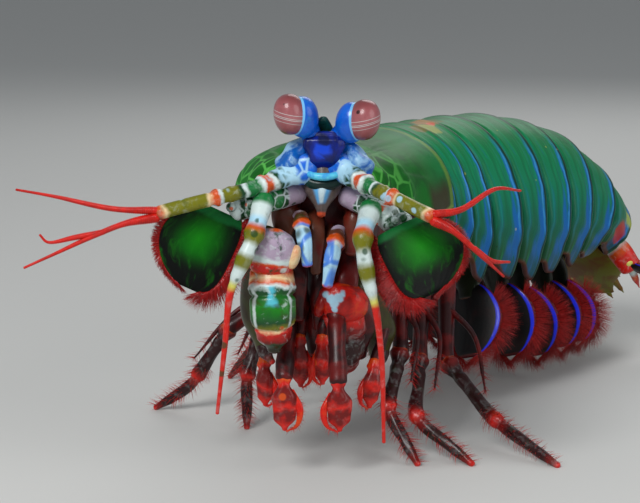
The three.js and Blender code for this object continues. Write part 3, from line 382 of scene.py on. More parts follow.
def objectPlace(tree):
    return addNode(tree, "ShaderNodeTexCoord").outputs["Object"]


def noiseAt(tree, scale, detail=3.0, **more):
    inputs = {"Vector": objectPlace(tree), "Scale": scale, "Detail": detail, **more}
    return addNode(tree, "ShaderNodeTexNoise", inputs).outputs["Fac"]


def ramp(tree, value, stops):
    node = addNode(tree, "ShaderNodeValToRGB", {0: value})
    elements = node.color_ramp.elements
    while len(elements) < len(stops):
        elements.new(0.5)
    for element, (place, color) in zip(elements, sorted(stops, key=lambda s: s[0])):
        element.position = place
        element.color = color
    return node.outputs[0]


# A node group of numbers: defaults holds its inputs, results its outputs
def newGroup(name, defaults, results):
    group = bpy.data.node_groups.new(name, "ShaderNodeTree")
    for label, value in defaults.items():
        socket = group.interface.new_socket(name=label, in_out="INPUT", socket_type="NodeSocketFloat")
        socket.default_value = value
    for label in results:
        group.interface.new_socket(name=label, in_out="OUTPUT", socket_type="NodeSocketFloat")
    return group, group.nodes.new("NodeGroupInput").outputs, group.nodes.new("NodeGroupOutput").inputs


# Mottle: soft blotches of noise between two levels, and fine grain for a bump
def makeMottleGroup():
    group, take, give = newGroup("mottle", {"Scale": 300.0, "Low": 0.4, "High": 0.6}, ["Mask", "Grain"])
    noise = noiseAt(group, take["Scale"], 4.0, Roughness=0.6, Distortion=0.6)
    group.links.new(softStep(group, noise, take["Low"], take["High"]), give["Mask"])
    group.links.new(noiseAt(group, 2600.0), give["Grain"])
    return group


# Stripe: a soft band about a centre, with an edge that wanders by noise
def makeStripeGroup():
    group, take, give = newGroup("stripe", {"Value": 0.5, "Centre": 0.5, "Half Width": 0.05, "Softness": 0.02,
                                            "Wander": 0.02, "Scale": 400.0}, ["Mask"])
    centred = mathNode(group, "SUBTRACT", noiseAt(group, take["Scale"]), 0.5)
    pushed = mathNode(group, "ADD", take["Value"], mathNode(group, "MULTIPLY", centred, take["Wander"]))
    away = mathNode(group, "ABSOLUTE", mathNode(group, "SUBTRACT", pushed, take["Centre"]))
    outer = mathNode(group, "ADD", take["Half Width"], take["Softness"])
    group.links.new(softStep(group, away, outer, take["Half Width"]), give["Mask"])
    return group


# Flecks: scattered round spots in the middles of Voronoi cells
def makeFleckGroup():
    group, take, give = newGroup("flecks", {"Scale": 400.0, "Size": 0.2, "Chance": 0.5}, ["Mask"])
    cells = addNode(group, "ShaderNodeTexVoronoi", {"Vector": objectPlace(group), "Scale": take["Scale"]})
    core = mathNode(group, "MULTIPLY", take["Size"], 0.6)
    inside = softStep(group, cells.outputs["Distance"], take["Size"], core)
    split = addNode(group, "ShaderNodeSeparateColor", {"Color": cells.outputs["Color"]})
    chosen = mathNode(group, "LESS_THAN", split.outputs[0], take["Chance"])
    group.links.new(mathNode(group, "MULTIPLY", inside, chosen), give["Mask"])
    return group


mottleGroup = makeMottleGroup()
stripeGroup = makeStripeGroup()
fleckGroup = makeFleckGroup()


# A shell material under construction: its tree, its shader and its base colour so far
class Shell:
    def __init__(self, name, roughness, coat, specular=0.3):
        self.material = bpy.data.materials.new(name)
        self.material.use_nodes = True
        self.tree = self.material.node_tree
        self.tree.nodes.clear()
        inputs = {"Roughness": roughness, "Specular IOR Level": specular,
                  "Coat Weight": coat, "Coat Roughness": 0.1}
        self.bsdf = addNode(self.tree, "ShaderNodeBsdfPrincipled", inputs)
        addNode(self.tree, "ShaderNodeOutputMaterial", {0: self.bsdf.outputs[0]})
        self.color = None

    # Place on the UV map Surface: across and along, each from 0 to 1
    def surface(self):
        node = addNode(self.tree, "ShaderNodeUVMap", uv_map="Surface")
        split = addNode(self.tree, "ShaderNodeSeparateXYZ", {"Vector": node.outputs[0]})
        return split.outputs[0], split.outputs[1]

    def value(self, label):
        return addNode(self.tree, "ShaderNodeAttribute", attribute_name=label).outputs["Fac"]

    def plus(self, a, b):
        return mathNode(self.tree, "ADD", a, b)

    def times(self, a, b):
        return mathNode(self.tree, "MULTIPLY", a, b)

    # Distance of a value from a centre, times a factor
    def away(self, value, centre, factor):
        distance = mathNode(self.tree, "ABSOLUTE", mathNode(self.tree, "SUBTRACT", value, centre))
        return self.times(distance, factor)

    # Noise about zero, of the given height
    def jitter(self, scale, detail, height):
        return self.times(mathNode(self.tree, "SUBTRACT", noiseAt(self.tree, scale, detail), 0.5), height)

    def between(self, value, low, high):
        return softStep(self.tree, value, low, high)

    def stripe(self, value, centre, halfWidth, softness=0.03, wander=0.04, scale=400.0):
        inputs = {"Value": value, "Centre": centre, "Half Width": halfWidth, "Softness": softness,
                  "Wander": wander, "Scale": scale}
        return addNode(self.tree, "ShaderNodeGroup", inputs, node_tree=stripeGroup).outputs[0]

    # Streaks of noise stretched along one way of the surface map
    def streaks(self, acrossScale, alongScale, low, high):
        u, v = self.surface()
        stretched = addNode(self.tree, "ShaderNodeCombineXYZ", {
            "X": self.times(u, acrossScale), "Y": self.times(v, alongScale)})
        noise = addNode(self.tree, "ShaderNodeTexNoise", {
            "Vector": stretched.outputs[0], "Scale": 1.0, "Detail": 4.0, "Roughness": 0.6, "Distortion": 0.8})
        return softStep(self.tree, noise.outputs["Fac"], low, high)

    # A soft patch about a point of the design, with a ragged edge
    def near(self, point, radius):
        target = tuple(np.asarray(point, float) * mm + origin)
        away = addNode(self.tree, "ShaderNodeVectorMath", {0: objectPlace(self.tree), 1: target},
                       operation="DISTANCE")
        reach = self.plus(away.outputs["Value"], self.jitter(420.0, 4.0, radius * mm * 1.6))
        return softStep(self.tree, reach, radius * mm, radius * mm * 0.6)

    # A net of lines along the borders of Voronoi cells
    def net(self, scale, width):
        cells = addNode(self.tree, "ShaderNodeTexVoronoi", {"Vector": objectPlace(self.tree), "Scale": scale},
                        feature="DISTANCE_TO_EDGE")
        return softStep(self.tree, cells.outputs["Distance"], width, width * 0.2)

    # Lays a colour over what is there, where the mask is 1
    def over(self, mask, color, amount):
        factor = self.times(mask, amount)
        self.color = addNode(self.tree, "ShaderNodeMix", {0: factor, 6: self.color, 7: color},
                             data_type="RGBA").outputs[2]

    def blotches(self, scale, low, high, color, amount):
        mottle = addNode(self.tree, "ShaderNodeGroup", {"Scale": scale, "Low": low, "High": high},
                         node_tree=mottleGroup)
        self.over(mottle.outputs["Mask"], color, amount)

    def flecks(self, scale, size, chance, color, amount):
        spots = addNode(self.tree, "ShaderNodeGroup", {"Scale": scale, "Size": size, "Chance": chance},
                        node_tree=fleckGroup)
        self.over(spots.outputs[0], color, amount)

    # Links the colour and a fine bump: the grain of the mottle, unless another height is given
    def finish(self, strength, height=None, distance=0.0001):
        self.tree.links.new(self.color, self.bsdf.inputs["Base Color"])
        height = height or addNode(self.tree, "ShaderNodeGroup", node_tree=mottleGroup).outputs["Grain"]
        bump = addNode(self.tree, "ShaderNodeBump", {
            "Height": height, "Distance": distance, "Strength": strength})
        self.tree.links.new(bump.outputs[0], self.bsdf.inputs["Normal"])
        return self.material


# Materials

# Colours of the animal that several of its parts share
paint = {
    "green": rgb(16, 112, 52), "greenDark": rgb(6, 62, 26), "tealDark": rgb(3, 62, 56),
    "stripeBlue": rgb(12, 92, 178), "cyan": rgb(90, 200, 226), "azure": rgb(22, 104, 214),
    "paleBlue": rgb(170, 214, 236), "white": rgb(204, 220, 218), "cream": rgb(222, 196, 150),
    "olive": rgb(112, 112, 10), "oliveDark": rgb(58, 60, 16), "yellow": rgb(212, 206, 96),
    "orange": rgb(206, 78, 18), "red": rgb(204, 26, 14), "redDark": rgb(112, 12, 10),
    "maroon": rgb(44, 8, 10), "black": rgb(8, 10, 10), "brown": rgb(94, 52, 36),
    "pink": rgb(170, 108, 110), "lilac": rgb(168, 150, 172),
}

# Columns of a tail ring's grid from the middle of the back to the edge of a flap, and all round the ring
archSide = 46
ringColumns = 114
archMiddle = archSide / ringColumns
pupilPoints = [[-5.4, -4.6, 57.9], [5.6, -3.9, 56.6], [-5.0, -4.9, 54.6], [6.9, -4.1, 53.2]]


# Rings of the body: green above and teal on the flanks, with blue streaks before each rear edge and darker
# side flaps. patches holds [point, radius, colour, strength] of marks that lie on one side only
def bodyMaterial(name, patches=()):
    m = Shell(name, 0.44, 0.04, 0.22)
    u, v = m.surface()
    around = m.away(u, archMiddle, 1 / archMiddle)
    m.color = ramp(m.tree, around, [(0.0, rgb(2, 98, 44)), (0.35, rgb(2, 118, 66)), (0.6, rgb(2, 120, 84)),
                                    (0.82, rgb(2, 96, 80)), (0.93, rgb(2, 84, 50)), (1.0, rgb(6, 58, 22))])
    m.over(m.streaks(5.0, 9.0, 0.42, 0.7), rgb(4, 80, 44), 0.55)
    m.over(m.streaks(7.0, 16.0, 0.5, 0.72), rgb(8, 156, 98), 0.55)
    flank = m.between(around, 0.22, 0.5)
    m.over(m.times(m.streaks(4.0, 7.0, 0.5, 0.62), flank), rgb(4, 112, 150), 0.35)
    broken = m.times(flank, m.streaks(9.0, 2.0, 0.3, 0.5))
    m.over(m.times(m.stripe(v, 0.84, 0.02, 0.05, 0.2, 170.0), broken), paint["stripeBlue"], 0.95)
    m.over(m.times(m.stripe(v, 0.84, 0.004, 0.03, 0.2, 170.0), broken), paint["cyan"], 0.3)
    # The blue widens into a wedge low on the flank, and its inner end is ragged
    wedge = m.between(m.plus(around, m.away(v, 0.72, -1.7)), 0.5, 0.66)
    m.over(m.times(wedge, m.streaks(10.0, 3.0, 0.36, 0.52)), rgb(4, 92, 176), 0.8)
    m.over(m.times(m.between(around, 0.86, 0.95), m.streaks(9.0, 3.0, 0.3, 0.5)), rgb(2, 74, 40), 0.7)
    m.over(m.stripe(v, 0.9, 0.014, 0.03, 0.04, 300.0), rgb(2, 40, 34), 0.9)
    m.over(m.stripe(v, 0.975, 0.014, 0.02, 0.02, 300.0), rgb(64, 120, 40), 0.5)
    m.over(m.between(around, 0.985, 1.01), paint["brown"], 0.9)
    m.flecks(420.0, 0.14, 0.12, paint["yellow"], 0.28)
    m.flecks(260.0, 0.09, 0.22, paint["black"], 0.7)
    for point, radius, color, amount in patches:
        m.over(m.near(point, radius), color, amount)
    return m.finish(0.35)


# Carapace: vivid green with a net of pale lines toward its front corners, a brown patch at each hind corner
def carapaceMaterial():
    m = Shell("carapaceShell", 0.46, 0.03, 0.2)
    u, v = m.surface()
    m.color = ramp(m.tree, v, [(0.0, rgb(30, 140, 24)), (0.2, rgb(4, 112, 20)), (0.7, rgb(2, 100, 26)),
                               (1.0, rgb(4, 112, 56))])
    m.blotches(120.0, 0.42, 0.62, rgb(4, 66, 18), 0.7)
    side = m.away(u, 0.25, 4.0)
    front = m.times(m.between(v, 0.5, 0.1), m.between(side, 0.3, 0.6))
    m.over(m.times(m.net(330.0, 0.11), front), rgb(96, 196, 84), 0.8)
    hindCorner = m.times(m.stripe(v, 0.8, 0.12, 0.1, 0.1, 200.0), m.between(side, 0.72, 0.86))
    m.over(hindCorner, rgb(58, 30, 16), 0.8)
    m.over(m.stripe(side, 0.985, 0.012, 0.02, 0.02, 300.0), rgb(140, 170, 70), 0.6)
    m.over(m.stripe(v, 0.985, 0.012, 0.02, 0.02), rgb(110, 140, 50), 0.6)
    return m.finish(0.35)


# Bands along a limb, each [end of band, colour name], with flecks and speckles over them. slant tips the
# bands toward one side of the limb, and veins lays a pale net over a stretch of it
def bandedMaterial(name, bands, fleck=None, veins=None, roughness=0.36, softness=0.012, wander=0.02,
                   speckle=0.35, slant=0.0):
    m = Shell(name, roughness, 0.14)
    u, v = m.surface()
    tip = m.times(mathNode(m.tree, "COSINE", m.times(u, 2 * math.pi)), slant)
    along = m.plus(m.plus(v, m.jitter(500.0, 3.0, wander)), tip)
    stops = []
    last = 0.0
    for end, color in bands:
        stops += [(min(1, last + softness), paint[color]), (max(0, end - softness), paint[color])]
        last = end
    m.color = ramp(m.tree, along, stops)
    m.blotches(900.0, 0.5, 0.68, paint["white"], speckle * 0.5)
    if fleck:
        m.flecks(*fleck[:3], paint[fleck[3]], 0.8)
    m.blotches(420.0, 0.52, 0.7, paint["greenDark"], speckle)
    if veins:
        low, high, scale, color = veins
        stretch = m.stripe(v, (low + high) / 2, (high - low) / 2, 0.04, 0.05)
        m.over(m.times(m.net(scale, 0.12), stretch), paint[color], 0.8)
    return m.finish(0.4)


# One colour with blotches of another, and flecks of a third when fleck is given
def plainMaterial(name, base, blotch, scale, amount, roughness, fleck=None):
    m = Shell(name, roughness, 0.1)
    m.color = paint[base]
    m.blotches(scale, 0.42, 0.62, paint[blotch], amount)
    if fleck:
        m.flecks(*fleck[:3], paint[fleck[3]], 0.85)
    return m.finish(0.35)


# Cornea: dusty pink, darker at top and bottom, with fine pale lines of the midband and a few dark points.
# band is the height in the eye along its own tilt, from -1 to 1
def corneaMaterial():
    m = Shell("cornea", 0.3, 0.35)
    band = m.value("band")
    m.color = ramp(m.tree, m.plus(m.times(band, 0.5), 0.5), [
        (0.0, rgb(96, 34, 34)), (0.2, rgb(146, 78, 82)), (0.5, rgb(168, 104, 108)), (0.8, rgb(150, 80, 84)),
        (1.0, rgb(110, 44, 44))])
    m.blotches(500.0, 0.42, 0.7, rgb(130, 66, 70), 0.5)
    for centre, amount in ((0.12, 0.75), (-0.06, 0.8), (-0.13, 0.9), (-0.3, 0.6)):
        m.over(m.stripe(band, centre, 0.004, 0.014, 0.008, 900.0), paint["white"], amount)
    for point in pupilPoints:
        m.over(m.near(point, 0.34), rgb(30, 8, 10), 0.9)
    facets = addNode(m.tree, "ShaderNodeTexVoronoi", {"Vector": objectPlace(m.tree), "Scale": 5200.0})
    return m.finish(0.25, facets.outputs["Distance"], 0.00004)


# Eye cup: azure, with a pale line where it meets the cornea. rim is the distance from the middle of the
# cornea in its own half sizes, so 1 on its surface
def cupMaterial():
    m = Shell("eyeCup", 0.3, 0.35)
    m.color = rgb(10, 96, 206)
    m.blotches(260.0, 0.42, 0.66, rgb(6, 60, 168), 0.7)
    m.blotches(420.0, 0.55, 0.7, rgb(30, 140, 190), 0.6)
    m.over(m.stripe(m.value("rim"), 1.03, 0.05, 0.03, 0.02, 600.0), rgb(120, 190, 236), 0.9)
    return m.finish(0.3)


# Face shield: deep royal blue, lighter in the middle and nearly black at the top
def faceMaterial():
    m = Shell("faceShield", 0.34, 0.15)
    m.color = rgb(4, 30, 128)
    m.over(m.near([0.4, -3.0, 50.4], 1.7), rgb(10, 74, 224), 0.7)
    m.blotches(340.0, 0.45, 0.66, rgb(3, 12, 70), 0.8)
    m.blotches(200.0, 0.55, 0.7, rgb(14, 60, 214), 0.6)
    m.over(m.near([0.6, -2.2, 52.4], 1.1), rgb(2, 10, 40), 0.8)
    return m.finish(0.4)


# Paddle: bright green in the middle, black toward the tip and the rim, with a thin dark red edge.
# far is the root of the squares of the place across and the place down the paddle
def paddleMaterial():
    m = Shell("paddleShell", 0.6, 0.0, 0.14)
    u, v = m.surface()
    across = m.away(u, 0.5, 2.0)
    down = m.away(v, 0.4, 1.7)
    squares = m.plus(mathNode(m.tree, "POWER", across, 2.0), mathNode(m.tree, "POWER", down, 2.0))
    far = mathNode(m.tree, "SQRT", squares)
    m.color = ramp(m.tree, far, [(0.0, rgb(14, 122, 10)), (0.36, rgb(4, 92, 8)), (0.66, rgb(2, 44, 6)),
                                 (0.86, rgb(1, 10, 4)), (1.0, rgb(2, 4, 3))])
    m.over(m.between(v, 0.55, 0.82), rgb(3, 5, 4), 0.9)
    m.over(m.streaks(9.0, 4.0, 0.5, 0.75), rgb(30, 150, 20), 0.22)
    m.over(m.stripe(v, 0.04, 0.05, 0.06, 0.1), paint["green"], 0.6)
    m.over(m.stripe(across, 0.965, 0.01, 0.02, 0.01), rgb(150, 14, 12), 0.7)
    return m.finish(0.3)


# Swimming plates: near black, with an electric blue line along the outer edge and dark red on the rims
def swimmerMaterial():
    m = Shell("swimmerShell", 0.42, 0.15)
    u, v = m.surface()
    m.color = rgb(6, 7, 9)
    m.blotches(240.0, 0.45, 0.68, rgb(30, 6, 8), 0.7)
    m.over(m.stripe(u, 0.93, 0.022, 0.03, 0.02), rgb(26, 44, 226), 0.95)
    m.over(m.stripe(u, 0.985, 0.015, 0.02, 0.01), rgb(90, 10, 14), 0.9)
    m.over(m.stripe(u, 0.02, 0.03, 0.03, 0.01), rgb(80, 10, 12), 0.8)
    m.over(m.stripe(v, 0.985, 0.015, 0.02, 0.01), rgb(90, 10, 12), 0.8)
    return m.finish(0.3)


# Broad stalks of the swimming limbs: dark olive with a cyan line down one side
def swimmerStemMaterial():
    m = Shell("swimmerStemShell", 0.4, 0.15)
    u, v = m.surface()
    m.color = rgb(22, 30, 14)
    m.blotches(240.0, 0.42, 0.62, rgb(6, 10, 8), 0.8)
    for seam in (0.0, 1.0):
        m.over(m.stripe(u, seam, 0.035, 0.03, 0.02), rgb(20, 150, 170), 0.9)
    m.over(m.between(v, 0.9, 1.0), paint["orange"], 0.4)
    return m.finish(0.3)


# Mouth shield: grey brown, a blue-white mark down the middle and an orange-red tip
def epistomeMaterial():
    m = Shell("mouthShield", 0.35, 0.2)
    u, v = m.surface()
    m.color = rgb(96, 84, 80)
    m.blotches(260.0, 0.42, 0.64, rgb(52, 36, 34), 0.8)
    blueMark = m.times(m.stripe(u, 0.25, 0.05, 0.05, 0.05, 500.0), m.stripe(v, 0.55, 0.16, 0.08, 0.1))
    whiteMark = m.times(m.stripe(u, 0.25, 0.015, 0.03, 0.03, 500.0), m.stripe(v, 0.5, 0.22, 0.06, 0.1))
    m.over(blueMark, rgb(90, 170, 226), 0.9)
    m.over(whiteMark, paint["white"], 0.8)
    m.over(m.between(v, 0.88, 0.94), rgb(200, 70, 30), 0.9)
    return m.finish(0.35)


# Hairs and bristles: one red with darker blotches
def hairMaterial(name, color, shine=0.4):
    m = Shell(name, 0.45, shine)
    m.color = color
    m.blotches(800.0, 0.45, 0.65, paint["redDark"], 0.5)
    return m.finish(0.1)


# Club: a green oval with a white-blue outline and a pale patch at its top, both painted highlights on its
# front, orange above it and red below
def clubMaterial():
    m = Shell("clubShell", 0.34, 0.2)
    u, v = m.surface()
    bands = [(0.05, "orange"), (0.12, "cream"), (0.18, "orange"), (0.22, "white"), (0.26, "greenDark"),
             (0.6, "greenDark"), (0.66, "olive"), (0.69, "cream"), (0.72, "red"), (0.84, "redDark"),
             (0.87, "greenDark"), (1.0, "maroon")]
    stops = [(place, paint[color]) for place, color in bands] + [(0.45, rgb(24, 120, 20))]
    m.color = ramp(m.tree, m.plus(v, m.jitter(420.0, 4.0, 0.16)), stops)
    oval = m.stripe(v, 0.42, 0.2, 0.06, 0.08)
    # Painted highlight: a white line along each side edge of the oval's front
    for edge in (0.1, 0.4):
        m.over(m.times(m.stripe(u, edge, 0.006, 0.022, 0.08, 420.0), oval), paint["white"], 0.85)
    # Painted highlight: a pale cyan patch on the front of the oval's upper part
    highlightPatch = m.times(m.stripe(u, 0.25, 0.012, 0.04, 0.12, 420.0), m.stripe(v, 0.32, 0.07, 0.05, 0.12))
    m.over(highlightPatch, paint["cyan"], 0.75)
    m.blotches(300.0, 0.5, 0.62, rgb(60, 24, 8), 0.45)
    m.flecks(420.0, 0.2, 0.22, paint["orange"], 0.6)
    m.blotches(560.0, 0.58, 0.7, paint["white"], 0.5)
    return m.finish(0.4)


# The left wrist is red, with a branched blue-white mark on its front
def farWristMaterial():
    m = Shell("farWristShell", 0.36, 0.15)
    m.color = paint["red"]
    m.blotches(240.0, 0.42, 0.62, paint["redDark"], 0.8)
    m.blotches(420.0, 0.56, 0.7, paint["orange"], 0.6)
    for point, radius in (([0.7, 1, 28.1], 0.95), ([1.5, 0.6, 27.4], 0.95), ([3.5, 0.4, 28.4], 0.85),
                          ([2.8, 0.4, 27.6], 0.9), ([2.1, 0.5, 26.6], 1.0), ([2.2, 0.6, 25.6], 0.75)):
        m.over(m.near(point, radius), paint["paleBlue"], 0.95)
    return m.finish(0.4)


carapaceShell = carapaceMaterial()
corneaShell = corneaMaterial()
cupShell = cupMaterial()
faceShell = faceMaterial()
epistomeShell = epistomeMaterial()
paddleShell = paddleMaterial()
swimmerShell = swimmerMaterial()
swimmerStemShell = swimmerStemMaterial()
clubShell = clubMaterial()
farWristShell = farWristMaterial()
fringeHair = hairMaterial("fringeHair", rgb(168, 14, 12))
swimmerHair = hairMaterial("swimmerHair", rgb(176, 30, 28), 0.2)
bristleHair = hairMaterial("bristleHair", rgb(200, 30, 20))

# Name, base colour, blotches, their scale and amount, roughness, then flecks: scale, size, share and colour
cheekShell = plainMaterial("cheekShell", "stripeBlue", "paleBlue", 380.0, 0.7, 0.36,
                           (360.0, 0.34, 0.5, "tealDark"))
lipShell = plainMaterial("lipShell", "cyan", "azure", 420.0, 0.6, 0.3)
throatShell = plainMaterial("throatShell", "tealDark", "black", 320.0, 0.7, 0.34)
plateShell = plainMaterial("plateShell", "tealDark", "black", 320.0, 0.7, 0.34)
lobeShell = plainMaterial("lobeShell", "brown", "redDark", 220.0, 0.7, 0.34, (260.0, 0.2, 0.2, "pink"))
undersideShell = plainMaterial("undersideShell", "maroon", "redDark", 160.0, 0.6, 0.45)
armShell = plainMaterial("armShell", "oliveDark", "maroon", 200.0, 0.7, 0.36)
fingerShell = plainMaterial("fingerShell", "red", "orange", 380.0, 0.6, 0.3)
earShell = plainMaterial("earShell", "cream", "orange", 300.0, 0.6, 0.36, (420.0, 0.3, 0.4, "white"))
stemShell = plainMaterial("stemShell", "maroon", "redDark", 240.0, 0.7, 0.4)
whipShell = plainMaterial("whipShell", "red", "redDark", 600.0, 0.35, 0.35)
knobShell = plainMaterial("knobShell", "greenDark", "white", 420.0, 0.75, 0.38, (560.0, 0.24, 0.3, "orange"))
tailShell = plainMaterial("tailShell", "olive", "redDark", 200.0, 0.6, 0.34, (300.0, 0.2, 0.3, "yellow"))

antennuleShell = bandedMaterial("antennuleShell", [
    (0.13, "azure"), (0.2, "paleBlue"), (0.27, "greenDark"), (0.285, "white"), (0.345, "orange"),
    (0.36, "white"), (0.45, "green"), (0.465, "white"), (0.5, "greenDark"), (0.6, "olive"), (0.615, "white"),
    (0.67, "orange"), (0.69, "cream"), (0.93, "olive"), (0.96, "cream"), (1.0, "orange")],
    (470.0, 0.3, 0.5, "paleBlue"), veins=(0.0, 0.24, 420.0, "paleBlue"), wander=0.07)
baseShell = bandedMaterial("baseShell", [
    (0.3, "lilac"), (0.4, "greenDark"), (0.5, "green"), (0.58, "white"), (0.66, "orange"), (0.74, "white"),
    (0.9, "greenDark"), (1.0, "white")], (620.0, 0.3, 0.5, "greenDark"),
    veins=(0.3, 1.0, 620.0, "white"), wander=0.16, slant=0.03)
stalkShell = bandedMaterial("antennaShell", [
    (0.045, "green"), (0.11, "white"), (0.15, "paleBlue"), (0.175, "orange"), (0.225, "olive"),
    (0.275, "white"), (0.335, "olive"), (0.4, "white"), (0.43, "yellow"), (1.0, "red")],
    (430.0, 0.3, 0.5, "greenDark"), speckle=0.2)
firstShell = bandedMaterial("firstLimbShell", [
    (0.4, "lilac"), (0.5, "brown"), (0.58, "orange"), (0.62, "white"), (0.95, "paleBlue"), (1.0, "orange")],
    (330.0, 0.42, 0.9, "oliveDark"), veins=(0.6, 0.95, 240.0, "azure"), wander=0.08)
wristShell = bandedMaterial("wristShell", [
    (0.1, "orange"), (0.2, "cream"), (0.23, "orange"), (0.4, "red"), (0.44, "orange"), (0.52, "white"),
    (0.93, "lilac"), (1.0, "orange")], (420.0, 0.3, 0.5, "white"),
    roughness=0.34, softness=0.02, wander=0.16, speckle=0.9, slant=0.05)
farClubShell = bandedMaterial("farClubShell", [
    (0.12, "red"), (0.3, "redDark"), (0.7, "maroon"), (0.85, "redDark"), (1.0, "red")],
    (260.0, 0.2, 0.2, "white"), softness=0.05, wander=0.2)
handShell = bandedMaterial("handShell", [
    (0.08, "orange"), (0.22, "red"), (0.5, "redDark"), (0.62, "red"), (0.8, "redDark"), (1.0, "red")],
    (420.0, 0.3, 0.4, "orange"), softness=0.06, wander=0.5, speckle=0.1)
legShell = bandedMaterial("legShell", [
    (0.04, "orange"), (0.1, "redDark"), (0.46, "maroon"), (0.5, "redDark"), (0.54, "red"), (0.6, "redDark"),
    (0.9, "maroon"), (0.96, "redDark"), (1.0, "red")], softness=0.02, wander=0.05, speckle=0.2)
uropodShell = bandedMaterial("uropodShell", [(0.3, "yellow"), (0.45, "white"), (0.6, "orange"), (1.0, "red")],
                             softness=0.05, wander=0.1)
print("materials made")


# The trunk

trunkSizes = {
    "carapaceLength": 33.0,
    "thoraxRings": [5.0, 5.5, 6.5],
    "abdomenRing": 9.3,
    "lastRing": 9.0,
    "telsonLength": 21.0,
    "halfWidth": 15.6,
    "backHeight": 50.2,
    "bodyHeight": 26.5,
    "ringGap": 0.38,
}
ringEnds = [trunkSizes["carapaceLength"]]
for ringLength in trunkSizes["thoraxRings"] + [trunkSizes["abdomenRing"]] * 5 + [trunkSizes["lastRing"]]:
    ringEnds.append(ringEnds[-1] + ringLength)
tailStart = ringEnds[-1]
bodyEnd = tailStart + trunkSizes["telsonLength"]
bodyHeight = trunkSizes["bodyHeight"]
bodyStart = np.array([-0.4, 2.0, trunkSizes["backHeight"] - bodyHeight / 2])

# Along the body: heading and downward pitch in degrees, width and depth as shares of the sizes above
headingTurns = [[0, 2], [33, 31], [50, 36], [bodyEnd, 40]]
pitchTurns = [[0, 0], [58, 0], [80, 13], [98, 38], [tailStart, 54], [bodyEnd, 50]]
widthAlong = [[0, 0.6], [13.2, 0.93], [33, 1], [ringEnds[1], 0.88], [ringEnds[2], 0.93], [ringEnds[4], 1],
              [ringEnds[6], 1.02], [ringEnds[8], 0.97], [tailStart, 0.86], [bodyEnd, 0.8]]
depthAlong = [[0, 0.78], [ringEnds[1], 0.88], [ringEnds[3], 1.1], [ringEnds[5], 1.18], [ringEnds[7], 1.04],
              [tailStart, 0.62], [bodyEnd, 0.5]]


def bodyDirection(s):
    heading = np.radians(profile(headingTurns, s))
    pitch = np.radians(profile(pitchTurns, s))
    return np.stack([np.sin(heading) * np.cos(pitch), np.cos(heading) * np.cos(pitch), -np.sin(pitch)], -1)


fineS = np.linspace(-6, bodyEnd + 4, 2801)
fineDir = bodyDirection(np.maximum(fineS, 0))
fineSteps = np.diff(fineS)[:, None] * (fineDir[1:] + fineDir[:-1]) / 2
fineCentre = np.vstack([[0, 0, 0], np.cumsum(fineSteps, 0)])
fineCentre += bodyStart - fineCentre[np.argmin(np.abs(fineS))]


# The trunk's frame at distances s from the front: centre, back, left and up
def bodyFrame(s):
    s = np.asarray(s, float)
    centre = np.stack([np.interp(s, fineS, fineCentre[:, k]) for k in range(3)], -1)
    back = bodyDirection(np.maximum(s, 0))
    left = unit(np.cross(back, [0, 0, 1.0]))
    return centre, back, left, unit(np.cross(left, back))


# The same at a single distance
def frameAt(s):
    return [part[0] for part in bodyFrame([s])]


# Section points (rows of x sideways, z up) set in the trunk's frame at s
def inBody(s, x, z):
    centre, back, left, up = bodyFrame(s)
    return centre[:, None] + left[:, None] * x[..., None] + up[:, None] * z[..., None]


# One ring of the body: an arch that reaches about 120 degrees down each way, side flaps and a narrower
# belly. Across, x = (half width + relief) sin(a)^0.92; up, z = top - (half height + 0.4 relief)(1 - cos(a))
def ringGrid(start, end):
    length = end - start
    rear = length - trunkSizes["ringGap"]
    v = np.concatenate([[-2.2, -1.0, -0.2], np.linspace(0, rear, 30), [rear + 0.02]])
    shrink = profile([[-2.2, 1.6], [-0.2, 1.4], [length * 0.2, 0.3], [length * 0.65, 0.05],
                      [length - 0.7, -0.22], [rear, -0.02], [length + 1, -0.02]], v)
    tuck = profile([[-0.2, 2], [length * 0.2, 0], [length, 0]], v)
    reach = profile([[-0.2, 0], [length * 0.2, 0.6], [length * 0.65, 1], [length, 1.2]], v)
    s, k = start + v, v / length
    flapAngle = np.radians(101 + 13.2 * reach + 5 * ease((k - 0.3) / 0.5) - 6 * ease((k - 0.93) / 0.09))
    hw = trunkSizes["halfWidth"] * profile(widthAlong, s) - shrink - tuck
    depth = bodyHeight * profile(depthAlong, s)
    hh = depth * 0.62
    top = bodyHeight / 2 - shrink
    q = np.linspace(0, 1, archSide + 1)
    a = flapAngle[:, None] * q
    # A shallow furrow high on the flank and a low keel above the flap
    relief = -0.22 * hump(q - 0.52, 0.05) + 0.3 * hump(q - 0.78, 0.05) - 0.15 * hump(q - 0.86, 0.03)
    relief = relief * ease((k - 0.08) / 0.2)[:, None] * ease((1.0 - k) / 0.12)[:, None]
    x = (hw[:, None] + relief) * np.sin(a) ** 0.92
    z = top[:, None] - (hh[:, None] + 0.4 * relief) * (1 - np.cos(a))
    belly = bodyHeight / 2 - shrink - depth * 0.9
    low = top - hh * 1.28
    tipX, tipZ = x[:, -1], z[:, -1]
    under = [(tipX - 0.35, tipZ - 0.35), (tipX - 0.8, tipZ - 0.4), (tipX - 1.1, tipZ - 0.1),
             (hw * 0.8, top - hh * 1.16), (hw * 0.66, low), (hw * 0.56, (belly + 1.4 + low) / 2),
             (hw * 0.5, belly + 1.4), (hw * 0.44, belly + 0.5), (hw * 0.34, belly), (hw * 0.17, belly - 0.25)]
    ux, uz = (np.stack([p[i] for p in under], 1) for i in (0, 1))
    # Round from the right tip of the arch over the top to the left, then back along the belly
    fullX = np.hstack([-x[:, :0:-1], x, ux, np.zeros((len(v), 1)), -ux[:, ::-1]])
    fullZ = np.hstack([z[:, :0:-1], z, uz, (belly - 0.3)[:, None], uz[:, ::-1]])
    return inBody(s, fullX, fullZ)


